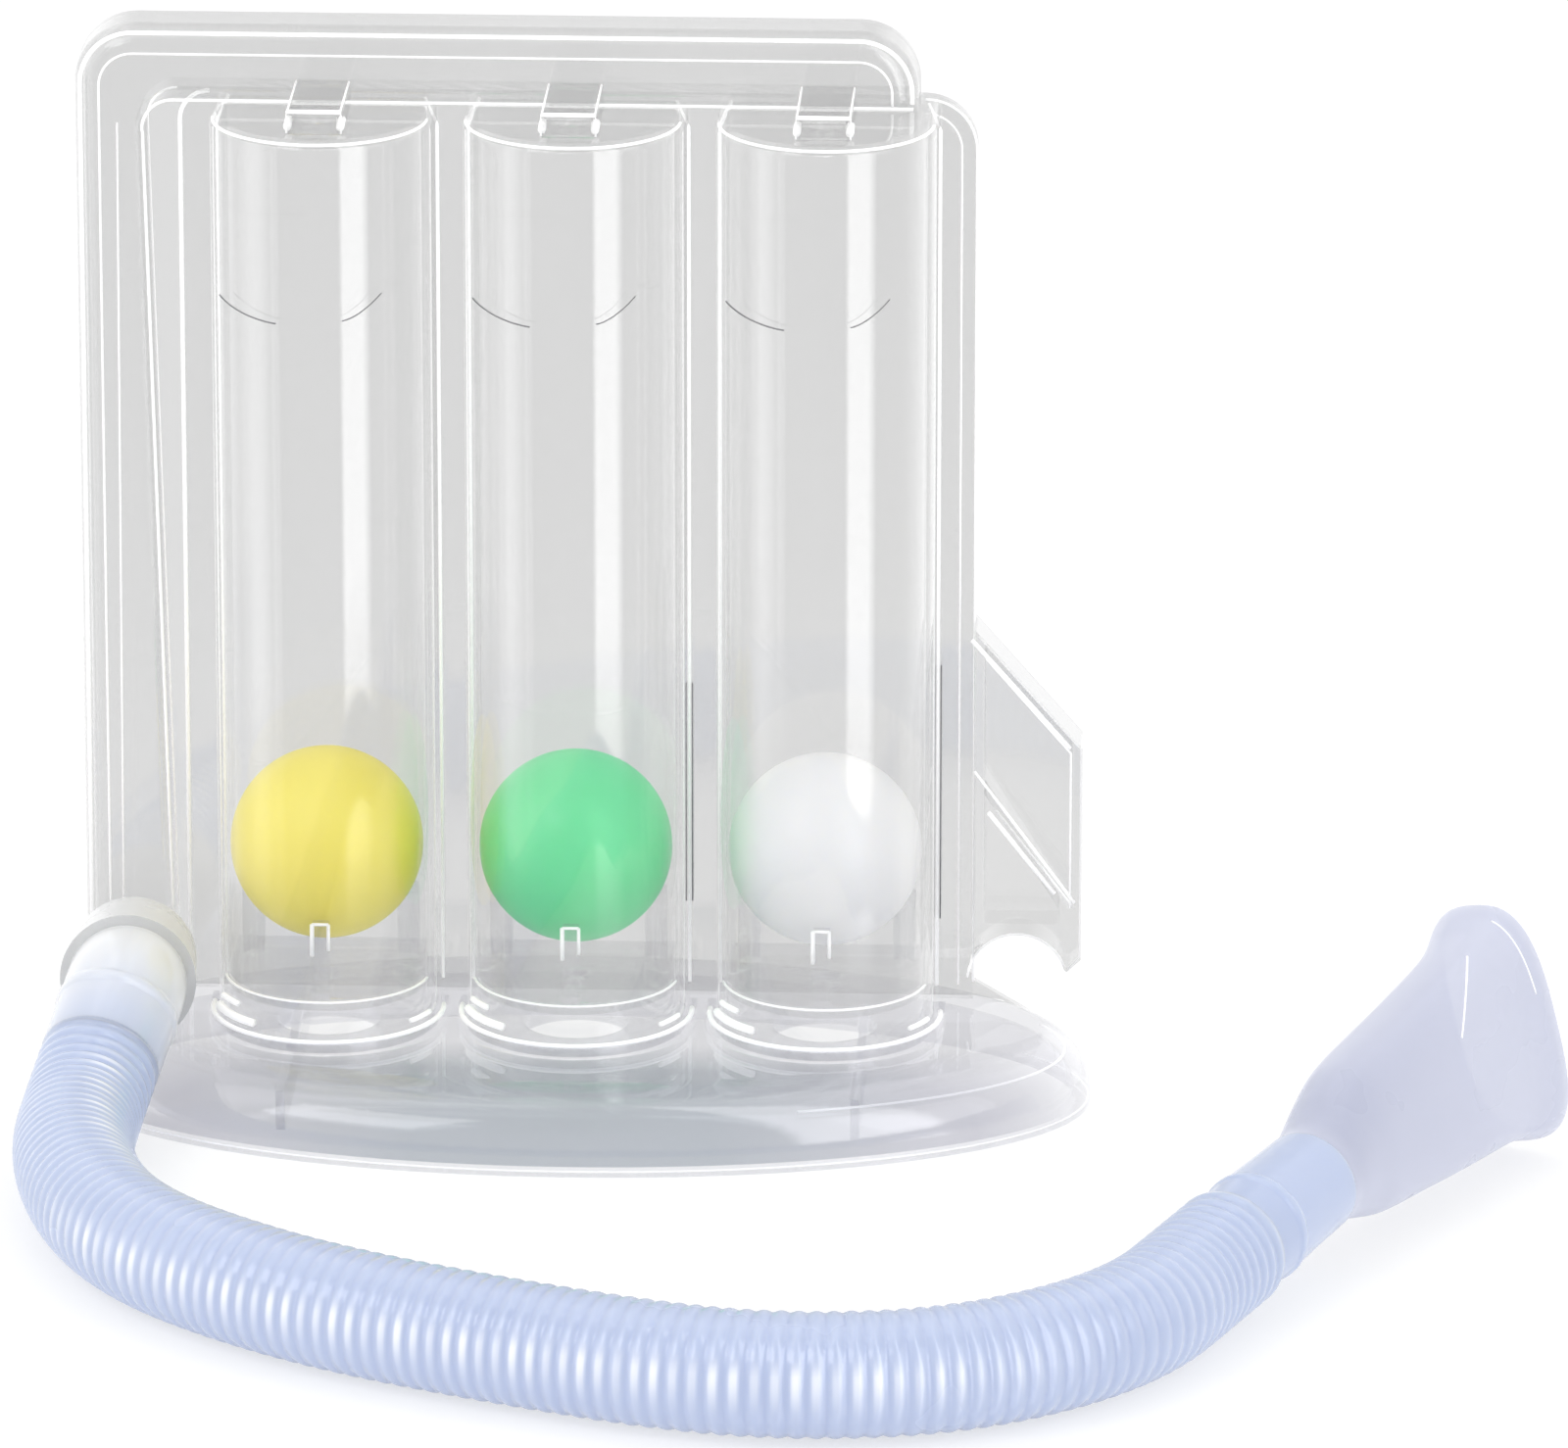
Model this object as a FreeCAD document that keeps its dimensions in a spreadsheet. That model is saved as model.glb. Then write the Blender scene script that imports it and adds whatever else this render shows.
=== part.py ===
import FreeCAD, Part
import Sketcher
import math
import os

# Three-ball incentive spirometer, in millimetres.
# Frame: +X to the right of someone facing the balls, +Y to the back, +Z up.
# The origin is the centre of the foot's underside, on the table.

os.makedirs("parts", exist_ok=True)
doc = FreeCAD.newDocument("spirometer")

# Driving sizes. Every sketch and solid below is bound to these cells.
SIZES = {
    # balls and chambers
    "ball_dia": 26.0,
    "ball_gap": 0.5,
    "chamber_wall": 1.2,
    "chamber_pitch": 33.6,
    "chamber_top": 137.0,
    "chamber_lip": 1.6,
    "outlet_hole_dia": 4.0,
    "flange_margin": 5.0,
    "flange_thick": 1.4,
    "ball_rest_height": 22.6,
    # back panel and its hose holder
    "panel_back": 14.0,
    "panel_thick": 1.4,
    "panel_corner": 7.0,
    "holder_reach": 14.6,
    "holder_top": 64.4,
    "holder_shoulder": 47.8,
    "holder_depth": 7.4,
    "holder_rim": 1.4,
    "notch_radius": 6.6,
    "notch_height": 14.6,
    "notch_offset": 6.0,
    "notch_cheek": 0.8,
    "hook_width": 1.9,
    "hook_bottom": 16.0,
    "hook_tip": 0.7,
    "hook_chamfer": 1.8,
    "brace_left": 43.5,
    "brace_right": 24.8,
    "brace_height": 2.2,
    "arch_wall": 1.6,
    "toe_reach": 7.6,
    "toe_height": 8.1,
    "toe_knee": 9.9,
    "toe_root": 12.6,
    # air duct up the left side and across the top
    "duct_overhang": 13.7,
    "duct_right": 45.6,
    "duct_height": 10.0,
    "duct_depth": 8.1,
    "duct_wall": 1.2,
    "duct_round": 8.0,
    "duct_edge": 3.4,
    "duct_seam": 1.4,
    "leg_width_top": 9.3,
    "leg_width_base": 12.4,
    # outlet hoods that join each chamber to the duct
    "hood_width": 7.5,
    "hood_length": 16.0,
    "hood_height": 3.2,
    "hood_wall": 0.8,
    "hood_round": 0.5,
    # inlet discs that carry the balls
    "disc_height": 17.6,
    "disc_thick": 1.6,
    "disc_gap": 0.15,
    "post_width": 2.2,
    "post_depth": 2.3,
    "post_inset": 0.1,
    "ball_seat_gap": 0.3,
    "inlet_small": 2.6,
    "inlet_step": 0.8,
    # foot
    "foot_width": 139.0,
    "foot_depth": 69.0,
    "foot_height": 10.5,
    "foot_wall": 2.2,
    "foot_round": 9.0,
    "air_hole_dia": 14.0,
    "socket_rise": 1.6,
    "socket_wall": 1.2,
    "socket_gap": 0.2,
    "socket_reach": 6.0,
    "rib_thick": 1.2,
    "rib_spread": 38.5,
    "rib_base": 2.0,
    "rib_margin": 6.0,
    # hose port, hose and mouthpiece
    "port_offset": 7.0,
    "port_height": 18.2,
    "port_hole_dia": 9.0,
    "collar_root": 6.9,
    "collar_shoulder": 8.4,
    "collar_mouth": 9.2,
    "collar_rise": 3.0,
    "collar_swell": 4.0,
    "collar_length": 13.5,
    "collar_base": 4.5,
    "saddle_gap": 0.1,
    "hose_dia": 16.2,
    "cuff_wall": 0.55,
    "fit_gap": 0.05,
    "end_gap": 0.3,
    "plug_length": 9.0,
    "neck_radius": 6.7,
    "neck_insert": 9.5,
    "neck_free": 1.2,
    "mouth_cuff_length": 21.0,
    "mouth_cuff_wall": 0.8,
    "mouth_cuff_collar": 1.5,
    "mouth_cuff_taper": 5.0,
    "bill_length": 53.0,
    "bill_half_width": 15.2,
    "bill_half_thick": 6.3,
    "bill_wall": 1.1,
    "lip_flare": 1.5,
    "lip_length": 4.0,
}

sheet = doc.addObject("Spreadsheet::Sheet", "sizes")
for row, (alias, value) in enumerate(SIZES.items(), 1):
    sheet.set("A%d" % row, alias)
    sheet.set("B%d" % row, str(value))
    sheet.setAlias("B%d" % row, alias)
doc.recompute()


def size(expression):
    """Value of an expression over the sheet's cells, as a plain number."""
    value = sheet.evalExpression(expression)
    return float(getattr(value, "Value", value))


def cells(formula):
    """Formula with each bare cell name turned into a reference to the sheet."""
    words = formula.replace("(", " ( ").replace(")", " ) ").split()
    named = " ".join("sizes." + word if word in SIZES else word for word in words)
    return named.replace("sqrt (", "sqrt(")


# Places and sizes that follow from the driving sizes.
BORE = "( ball_dia / 2 + ball_gap )"
SHELL = "( " + BORE + " + chamber_wall )"
PANEL_FRONT = "( panel_back - panel_thick )"
CHAMBER_Y = "( " + PANEL_FRONT + " - " + BORE + " )"
FLANGE_HALF = "( chamber_pitch + " + SHELL + " + flange_margin )"
DUCT_LEFT = "( " + FLANGE_HALF + " + duct_overhang )"
DUCT_FRONT = "( " + PANEL_FRONT + " - duct_depth )"
DUCT_TOP = "( chamber_top + duct_height )"
HOLDER_EDGE = "( " + FLANGE_HALF + " + holder_reach )"
NOTCH_X = "( " + FLANGE_HALF + " + notch_offset )"
PORT_X = "( port_offset - " + DUCT_LEFT + " )"
CHAMBERS = (("left", -1), ("middle", 0), ("right", 1))
OVERCUT = 1.0

subparts = []


def keep(feature, label):
    """Register a finished sub-part under the name of its node."""
    feature.Label = label
    subparts.append(feature)
    return feature


def bind(feature, **formulas):
    """Bind properties to formulas; a double underscore stands for a dot."""
    for name, formula in formulas.items():
        feature.setExpression(name.replace("__", "."), cells(str(formula)))


def chamber_x(side):
    return "( %d * chamber_pitch )" % side


# Helpers for bodies made from sketches

def new_body(label):
    return keep(doc.addObject("PartDesign::Body", label), label)


def new_sketch(body, name, role, offset="0"):
    """Sketch on one of the body's own origin planes, shifted along its normal."""
    sketch = body.newObject("Sketcher::SketchObject", name)
    plane = next(item for item in body.Origin.OriginFeatures if item.Role == role)
    sketch.AttachmentSupport = [(plane, "")]
    sketch.MapMode = "FlatFace"
    bind(sketch, AttachmentOffset__Base__z=offset)
    return sketch


def pin_point(sketch, geometry, end, x_formula, y_formula):
    """Hold one end point of a line or arc, or a centre, at a place given by two formulas."""
    for kind, axis, formula in (("DistanceX", -2, x_formula), ("DistanceY", -1, y_formula)):
        value = size(cells(formula))
        if abs(value) < 1e-9:
            on_axis = Sketcher.Constraint("PointOnObject", geometry, end, axis)
            sketch.addConstraint(on_axis)
        else:
            distance = Sketcher.Constraint(kind, -1, 1, geometry, end, value)
            index = sketch.addConstraint(distance)
            sketch.setExpression("Constraints[%d]" % index, cells(formula))


def draw_outline(sketch, corners):
    """Closed outline of straight lines whose corners are pairs of formulas."""
    points = [FreeCAD.Vector(size(cells(x)), size(cells(y)), 0) for x, y in corners]
    first = None
    for index, start in enumerate(points):
        stop = points[(index + 1) % len(points)]
        line = sketch.addGeometry(Part.LineSegment(start, stop), False)
        first = line if first is None else first
        if index:
            sketch.addConstraint(Sketcher.Constraint("Coincident", line - 1, 2, line, 1))
    sketch.addConstraint(Sketcher.Constraint("Coincident", line, 2, first, 1))
    for index, (x_formula, y_formula) in enumerate(corners):
        pin_point(sketch, first + index, 1, x_formula, y_formula)


def draw_circle(sketch, x_formula, y_formula, radius_formula):
    centre = FreeCAD.Vector(size(cells(x_formula)), size(cells(y_formula)), 0)
    radius = size(cells(radius_formula))
    circle = sketch.addGeometry(Part.Circle(centre, FreeCAD.Vector(0, 0, 1), radius), False)
    pin_point(sketch, circle, 3, x_formula, y_formula)
    index = sketch.addConstraint(Sketcher.Constraint("Radius", circle, radius))
    sketch.setExpression("Constraints[%d]" % index, cells(radius_formula))


def draw_dee(sketch, x_formula, y_formula, radius_formula, flat_formula):
    """Half circle with straight sides that end at a flat; the flat may lie above or below."""
    x = size(cells(x_formula))
    y = size(cells(y_formula))
    radius = size(cells(radius_formula))
    back = size(cells(flat_formula))
    start = math.pi if back > y else 0
    if back < y:
        radius = -radius
    centre = FreeCAD.Vector(x, y, 0)
    circle = Part.Circle(centre, FreeCAD.Vector(0, 0, 1), abs(radius))
    front = sketch.addGeometry(Part.ArcOfCircle(circle, start, start + math.pi), False)
    corners = [(x + radius, y), (x + radius, back), (x - radius, back), (x - radius, y)]
    points = [FreeCAD.Vector(px, py, 0) for px, py in corners]
    right, rear, left = [
        sketch.addGeometry(Part.LineSegment(points[i], points[i + 1]), False) for i in range(3)
    ]
    for first, second in ((right, rear), (rear, left)):
        sketch.addConstraint(Sketcher.Constraint("Coincident", first, 2, second, 1))
    sketch.addConstraint(Sketcher.Constraint("Tangent", front, 2, right, 1))
    sketch.addConstraint(Sketcher.Constraint("Tangent", left, 2, front, 1))
    sketch.addConstraint(Sketcher.Constraint("Horizontal", rear))
    sketch.addConstraint(Sketcher.Constraint("Vertical", right))
    pin_point(sketch, front, 3, x_formula, y_formula)
    index = sketch.addConstraint(Sketcher.Constraint("Radius", front, abs(radius)))
    sketch.setExpression("Constraints[%d]" % index, cells(radius_formula))
    index = sketch.addConstraint(Sketcher.Constraint("DistanceY", -1, 1, rear, 1, back))
    sketch.setExpression("Constraints[%d]" % index, cells(flat_formula))


def draw_chamber(sketch, x_formula, radius_formula, back_formula):
    """Plan of a chamber: a half circle in front, straight sides and a flat back."""
    draw_dee(sketch, x_formula, CHAMBER_Y, radius_formula, back_formula)


def draw_oval(sketch, width_formula, depth_formula):
    """Ellipse about the sketch's origin, bound to its width and depth."""
    width = size(cells(width_formula))
    depth = size(cells(depth_formula))
    oval = sketch.addGeometry(Part.Ellipse(FreeCAD.Vector(0, 0, 0), width / 2, depth / 2), False)
    sketch.exposeInternalGeometry(oval)
    sketch.addConstraint(Sketcher.Constraint("Coincident", oval, 3, -1, 1))
    sketch.addConstraint(Sketcher.Constraint("Horizontal", oval + 1))
    for axis, value, formula in ((oval + 1, width, width_formula), (oval + 2, depth, depth_formula)):
        index = sketch.addConstraint(Sketcher.Constraint("Distance", axis, value))
        sketch.setExpression("Constraints[%d]" % index, cells(formula))


def pad(body, sketch, length):
    """Material on the side of the sketch that its normal points to."""
    feature = body.newObject("PartDesign::Pad", sketch.Name + "_pad")
    feature.Profile = sketch
    bind(feature, Length=length)
    doc.recompute()
    return feature


def pocket(body, sketch, length, along_normal=False):
    """Cut on the side opposite the sketch's normal, or along it."""
    before = body.Shape.Volume
    feature = body.newObject("PartDesign::Pocket", sketch.Name + "_pocket")
    feature.Profile = sketch
    feature.Reversed = along_normal
    bind(feature, Length=length)
    doc.recompute()
    if body.Shape.Volume >= before - 1e-6:
        raise RuntimeError(sketch.Name + " cuts nothing")
    return feature


def edge_names(shape, wanted):
    """Names of the edges of a shape for which wanted(edge) holds."""
    return ["Edge%d" % i for i, edge in enumerate(shape.Edges, 1) if wanted(edge)]


def fillet(body, wanted, radius):
    base = body.Tip
    names = edge_names(base.Shape, wanted)
    if not names:
        raise RuntimeError("no edge to round on " + body.Label)
    feature = body.newObject("PartDesign::Fillet", base.Name + "_round")
    feature.Base = (base, names)
    bind(feature, Radius=radius)
    doc.recompute()
    if not feature.isValid():
        raise RuntimeError("the edges of %s can't be rounded by %s" % (body.Label, radius))
    return feature


def runs_along_y(edge):
    """Straight edge parallel to Y."""
    direction = edge.Vertexes[-1].Point - edge.Vertexes[0].Point
    return len(edge.Vertexes) == 2 and abs(direction.y) > 0.999 * edge.Length


def near(value, formula):
    return abs(value - size(cells(formula))) < 0.01


# Balls: light hollow spheres in the real product, one in each chamber

def make_ball(name, side):
    ball = doc.addObject("Part::Sphere", "ball_" + name)
    bind(
        ball,
        Radius="ball_dia / 2",
        Placement__Base__x=chamber_x(side),
        Placement__Base__y=CHAMBER_Y,
        Placement__Base__z="ball_rest_height + ball_dia / 2",
    )
    keep(ball, "ball_" + name)


# Front shell: a flange with three chamber fronts, closed at the top and open behind

def make_front_shell():
    body = new_body("front_shell")
    flange = new_sketch(body, "flange_outline", "XZ_Plane", "- " + PANEL_FRONT)
    draw_outline(flange, [
        ("- " + FLANGE_HALF, "foot_height"),
        (FLANGE_HALF, "foot_height"),
        (FLANGE_HALF, "chamber_top"),
        ("- " + FLANGE_HALF, "chamber_top"),
    ])
    pad(body, flange, "flange_thick")
    fillet(body, lambda edge: runs_along_y(edge) and near(edge.CenterOfMass.x, FLANGE_HALF)
           and near(edge.CenterOfMass.z, "chamber_top"), "panel_corner")
    for name, side in CHAMBERS:
        plan = new_sketch(body, "shell_plan_" + name, "XY_Plane", "foot_height")
        draw_chamber(plan, chamber_x(side), SHELL, PANEL_FRONT)
        pad(body, plan, "chamber_top - foot_height")
    fillet(body, lambda edge: edge.Curve.TypeId == "Part::GeomCircle"
           and near(edge.CenterOfMass.z, "chamber_top") and edge.CenterOfMass.y < 0,
           "chamber_lip")
    for name, side in CHAMBERS:
        plan = new_sketch(body, "bore_plan_" + name, "XY_Plane", "foot_height")
        draw_chamber(plan, chamber_x(side), BORE, PANEL_FRONT + " + %g" % OVERCUT)
        pocket(body, plan, "chamber_top - chamber_wall - foot_height", along_normal=True)
        outlet = new_sketch(body, "outlet_" + name, "XY_Plane", "chamber_top")
        draw_circle(outlet, chamber_x(side), DUCT_FRONT + " - hood_length / 2",
                    "outlet_hole_dia / 2")
        pocket(body, outlet, "chamber_wall + %g" % OVERCUT)


# Back panel: closes the chambers and the duct, and carries the hose holder at the right

def make_back_panel():
    body = new_body("back_panel")
    plate = new_sketch(body, "panel_outline", "XZ_Plane", "- panel_back")
    hook_edge = HOLDER_EDGE + " - hook_width"
    hook = [
        (hook_edge + " - hook_tip", "hook_bottom + hook_tip"),
        (hook_edge, "hook_bottom"),
        (HOLDER_EDGE, "hook_bottom + hook_chamfer"),
        (HOLDER_EDGE, "holder_shoulder"),
        (FLANGE_HALF, "holder_top"),
    ]
    draw_outline(plate, [
        ("- " + DUCT_LEFT, "foot_height"),
        (FLANGE_HALF, "foot_height"),
        (FLANGE_HALF + " + toe_reach / 2", "toe_knee"),
        (FLANGE_HALF + " + toe_reach", "toe_height"),
        (FLANGE_HALF, "toe_root"),
        (NOTCH_X + " - notch_radius", "notch_height"),
    ] + hook + [
        (FLANGE_HALF, "chamber_top"),
        ("duct_right", "chamber_top"),
        ("duct_right", DUCT_TOP),
        ("- " + DUCT_LEFT, DUCT_TOP),
    ])
    pad(body, plate, "panel_thick")
    fillet(body, lambda edge: runs_along_y(edge) and near(edge.CenterOfMass.x, FLANGE_HALF)
           and near(edge.CenterOfMass.z, "chamber_top"), "panel_corner")
    fillet(body, lambda edge: runs_along_y(edge) and near(edge.CenterOfMass.z, DUCT_TOP),
           "duct_round")
    rim = new_sketch(body, "holder_rim_outline", "XZ_Plane", "- " + PANEL_FRONT)
    draw_outline(rim, hook + [(FLANGE_HALF, "hook_bottom + hook_tip")])
    pad(body, rim, "holder_depth - panel_thick")
    holder_front = "- " + PANEL_FRONT + " + holder_depth - panel_thick"
    left = FLANGE_HALF + " + holder_rim"
    right = HOLDER_EDGE + " - holder_rim"
    hollow = new_sketch(body, "holder_hollow", "XZ_Plane", holder_front)
    draw_outline(hollow, [
        (left, "holder_top - brace_height - holder_rim"),
        (right, "holder_shoulder - holder_rim / 2"),
        (right, "brace_right"),
        (left, "brace_left"),
    ])
    pocket(body, hollow, "holder_depth - panel_thick")
    lower = new_sketch(body, "holder_lower_hollow", "XZ_Plane", holder_front)
    arch_top = "notch_height + notch_radius + arch_wall"
    draw_outline(lower, [
        (left, "brace_left - brace_height"),
        (right + " - arch_wall", arch_top + " + brace_height"),
        (right + " - arch_wall", arch_top),
        (left, arch_top),
    ])
    pocket(body, lower, "holder_depth - panel_thick")
    notch = new_sketch(body, "holder_notch", "XZ_Plane", "- panel_back - %g" % OVERCUT)
    draw_dee(notch, NOTCH_X, "notch_height", "notch_radius", "notch_height - notch_cheek")
    pocket(body, notch, "holder_depth + %g" % (2 * OVERCUT), along_normal=True)


# Duct shell: an upside-down L channel, open behind, that the back panel closes

def make_duct_block(body, name, wall):
    """L-shaped block with rounded edges; wall is how far it lies inside the duct's outside."""
    outline = new_sketch(body, name, "XZ_Plane", "- " + PANEL_FRONT)
    left = wall + " - " + DUCT_LEFT
    right = "duct_right - " + wall
    low = "chamber_top + " + wall
    high = DUCT_TOP + " - " + wall
    leg_right = "leg_width_top - " + wall + " - " + DUCT_LEFT
    draw_outline(outline, [
        (left, "foot_height + " + wall),
        ("leg_width_base - " + wall + " - " + DUCT_LEFT, "foot_height + " + wall),
        (leg_right, low),
        (right, low),
        (right, high),
        (left, high),
    ])
    pad(body, outline, "duct_depth - " + wall)
    fillet(body, lambda edge: runs_along_y(edge) and near(edge.CenterOfMass.z, high),
           "duct_round - " + wall)
    fillet(body, lambda edge: runs_along_y(edge) and near(edge.CenterOfMass.x, leg_right),
           "duct_round / 2 + " + wall)
    fillet(body, lambda edge: near(edge.CenterOfMass.y, DUCT_FRONT + " + " + wall)
           and edge.BoundBox.YLength < 0.01
           and (edge.CenterOfMass.z > size(cells(low)) + 1 or near(edge.CenterOfMass.x, left)),
           "duct_edge - " + wall)


def make_duct_shell():
    body = new_body("duct_shell")
    make_duct_block(body, "duct_outline", "0")
    inner_side = -size(cells(FLANGE_HALF))
    fillet(body, lambda edge: near(edge.CenterOfMass.y, DUCT_FRONT) and edge.BoundBox.YLength < 0.01
           and (near(edge.CenterOfMass.z, "chamber_top") or edge.CenterOfMass.x < inner_side
                and size("sizes.foot_height") + 1 < edge.CenterOfMass.z < size("sizes.chamber_top")),
           "duct_seam")
    core = doc.addObject("PartDesign::Body", "duct_core")
    make_duct_block(core, "duct_core_outline", "duct_wall")
    hollow = body.newObject("PartDesign::Boolean", "duct_hollow")
    hollow.Type = "Cut"
    hollow.setObjects([core])
    doc.recompute()
    port = new_sketch(body, "port_hole", "XZ_Plane", "- " + DUCT_FRONT + " + %g" % OVERCUT)
    draw_circle(port, PORT_X, "port_height", "port_hole_dia / 2")
    pocket(body, port, "duct_wall + %g" % (2 * OVERCUT))
    for name, side in CHAMBERS:
        slot = new_sketch(body, "slot_" + name, "XZ_Plane",
                          "- " + DUCT_FRONT + " + %g" % OVERCUT)
        half = "( hood_width / 2 - hood_wall )"
        draw_outline(slot, [
            (chamber_x(side) + " - " + half, "chamber_top + duct_wall"),
            (chamber_x(side) + " + " + half, "chamber_top + duct_wall"),
            (chamber_x(side) + " + " + half, "chamber_top + hood_height - hood_wall"),
            (chamber_x(side) + " - " + half, "chamber_top + hood_height - hood_wall"),
        ])
        pocket(body, slot, "duct_wall + duct_edge + %g" % OVERCUT)


# Outlet hoods: low channels from each chamber's outlet hole back to the duct

def make_outlet_hood(name, side):
    body = new_body("outlet_hood_" + name)
    plan = new_sketch(body, "hood_plan_" + name, "XY_Plane", "chamber_top")
    x = chamber_x(side)
    front = DUCT_FRONT + " - hood_length"
    draw_outline(plan, [
        (x + " - hood_width / 2", front),
        (x + " + hood_width / 2", front),
        (x + " + hood_width / 2", DUCT_FRONT),
        (x + " - hood_width / 2", DUCT_FRONT),
    ])
    pad(body, plan, "hood_height")
    fillet(body, lambda edge: edge.CenterOfMass.z > size("sizes.chamber_top") + 0.1
           and edge.CenterOfMass.y < size(cells(DUCT_FRONT)) - 0.1, "hood_round")
    channel = new_sketch(body, "hood_channel_" + name, "XY_Plane", "chamber_top")
    half = "( hood_width / 2 - hood_wall )"
    draw_outline(channel, [
        (x + " - " + half, front + " + hood_wall"),
        (x + " + " + half, front + " + hood_wall"),
        (x + " + " + half, DUCT_FRONT + " + %g" % OVERCUT),
        (x + " - " + half, DUCT_FRONT + " + %g" % OVERCUT),
    ])
    pocket(body, channel, "hood_height - hood_wall", along_normal=True)


# Inlet discs: each plugs a chamber's foot, lets air in and holds the ball on three posts

def make_inlet_disc(name, side):
    body = new_body("inlet_disc_" + name)
    x = chamber_x(side)
    plan = new_sketch(body, "disc_plan_" + name, "XY_Plane", "disc_height - disc_thick")
    draw_chamber(plan, x, BORE + " - disc_gap", PANEL_FRONT + " - disc_gap")
    pad(body, plan, "disc_thick")
    reach = "( " + BORE + " - disc_gap - post_inset - post_depth )"
    drop = "sqrt ( ( ball_dia / 2 + ball_seat_gap ) ^ 2 - " + reach + " ^ 2 )"
    rise = "ball_rest_height + ball_dia / 2 - " + drop + " - disc_height"
    for index, turn in enumerate((270, 30, 150)):
        post = new_sketch(body, "post_%s_%d" % (name, index), "XY_Plane", "disc_height")
        along = (math.cos(math.radians(turn)), math.sin(math.radians(turn)))
        across = (-along[1], along[0])
        corners = []
        for outward, side_step in ((0, -0.5), (0, 0.5), (1, 0.5), (1, -0.5)):
            distance = "( " + reach + " + %d * post_depth )" % outward
            corners.append((
                x + " + %.6f * %s + %.6f * post_width" % (along[0], distance, across[0] * side_step),
                CHAMBER_Y + " + %.6f * %s + %.6f * post_width"
                % (along[1], distance, across[1] * side_step),
            ))
        draw_outline(post, corners)
        pad(body, post, rise)
    inlet = new_sketch(body, "inlet_" + name, "XY_Plane", "disc_height")
    draw_circle(inlet, x, CHAMBER_Y, "( inlet_small + %d * inlet_step ) / 2" % (side + 1))
    pocket(body, inlet, "disc_thick + %g" % OVERCUT)


# Foot: a domed oval shell, hollow below, with a low socket around each chamber

def make_dome(body, name, wall):
    """Oval block with a rounded top edge; wall is how far it lies inside the foot's outside."""
    plan = new_sketch(body, name, "XY_Plane")
    draw_oval(plan, "foot_width - 2 * " + wall, "foot_depth - 2 * " + wall)
    pad(body, plan, "foot_height - " + wall)
    fillet(body, lambda edge: edge.CenterOfMass.z > 1, "foot_round - " + wall)


def make_foot():
    body = new_body("foot")
    make_dome(body, "foot_plan", "0")
    core = doc.addObject("PartDesign::Body", "foot_core")
    make_dome(core, "foot_core_plan", "foot_wall")
    hollow = body.newObject("PartDesign::Boolean", "foot_hollow")
    hollow.Type = "Cut"
    hollow.setObjects([core])
    doc.recompute()
    for index, side in enumerate((-1, 1)):
        rib = new_sketch(body, "foot_rib_%d" % index, "XY_Plane", "rib_base")
        x = "%d * rib_spread" % side
        reach = "( foot_depth / 2 * sqrt ( 1 - ( 2 * rib_spread / foot_width ) ^ 2 ) - rib_margin )"
        draw_outline(rib, [
            (x + " - rib_thick / 2", "- " + reach),
            (x + " + rib_thick / 2", "- " + reach),
            (x + " + rib_thick / 2", reach),
            (x + " - rib_thick / 2", reach),
        ])
        pad(body, rib, "foot_height - foot_wall / 2 - rib_base")
    for name, side in CHAMBERS:
        x = chamber_x(side)
        socket = new_sketch(body, "socket_" + name, "XY_Plane", "foot_height")
        draw_chamber(socket, x, SHELL + " + socket_gap + socket_wall", CHAMBER_Y + " + socket_reach")
        pad(body, socket, "socket_rise")
    for name, side in CHAMBERS:
        x = chamber_x(side)
        seat = new_sketch(body, "seat_" + name, "XY_Plane", "foot_height")
        draw_chamber(seat, x, SHELL + " + socket_gap", PANEL_FRONT)
        pocket(body, seat, "socket_rise + %g" % OVERCUT, along_normal=True)
        hole = new_sketch(body, "air_hole_" + name, "XY_Plane", "foot_height + %g" % OVERCUT)
        draw_circle(hole, x, CHAMBER_Y, "air_hole_dia / 2")
        pocket(body, hole, "foot_wall + %g" % (2 * OVERCUT))
    saddle = new_sketch(body, "collar_saddle", "XZ_Plane", "- " + DUCT_FRONT)
    draw_circle(saddle, PORT_X, "port_height", "collar_mouth + saddle_gap")
    pocket(body, saddle, "collar_length + %g" % OVERCUT, along_normal=True)


# Hose port: a collar on the duct's foot that the hose's cuff plugs into

def turned(label, profile):
    """Body of revolution about its own Z axis; profile is pairs of radius and height."""
    body = new_body(label)
    sketch = new_sketch(body, label + "_profile", "XZ_Plane")
    draw_outline(sketch, profile)
    feature = body.newObject("PartDesign::Revolution", label + "_turned")
    feature.Profile = sketch
    feature.ReferenceAxis = (sketch, ["V_Axis"])
    feature.Angle = 360
    doc.recompute()
    return body


PLUG_RADIUS = "( hose_dia / 2 - cuff_wall )"


def make_port_collar():
    bore = "( " + PLUG_RADIUS + " + fit_gap )"
    body = turned("port_collar", [
        ("port_hole_dia / 2", "0"),
        ("collar_root", "0"),
        ("collar_shoulder", "collar_rise"),
        ("collar_mouth", "collar_length"),
        (bore, "collar_length"),
        (bore, "collar_base"),
        ("port_hole_dia / 2", "collar_base"),
    ])
    fillet(body, lambda edge: near(edge.CenterOfMass.z, "collar_rise"), "collar_swell")
    body.Placement.Rotation = FreeCAD.Rotation(FreeCAD.Vector(1, 0, 0), 90)
    bind(body, Placement__Base__x=PORT_X, Placement__Base__y=DUCT_FRONT,
         Placement__Base__z="port_height")


# Hose: route of its axis, point by point, as it lies on the table

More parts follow.
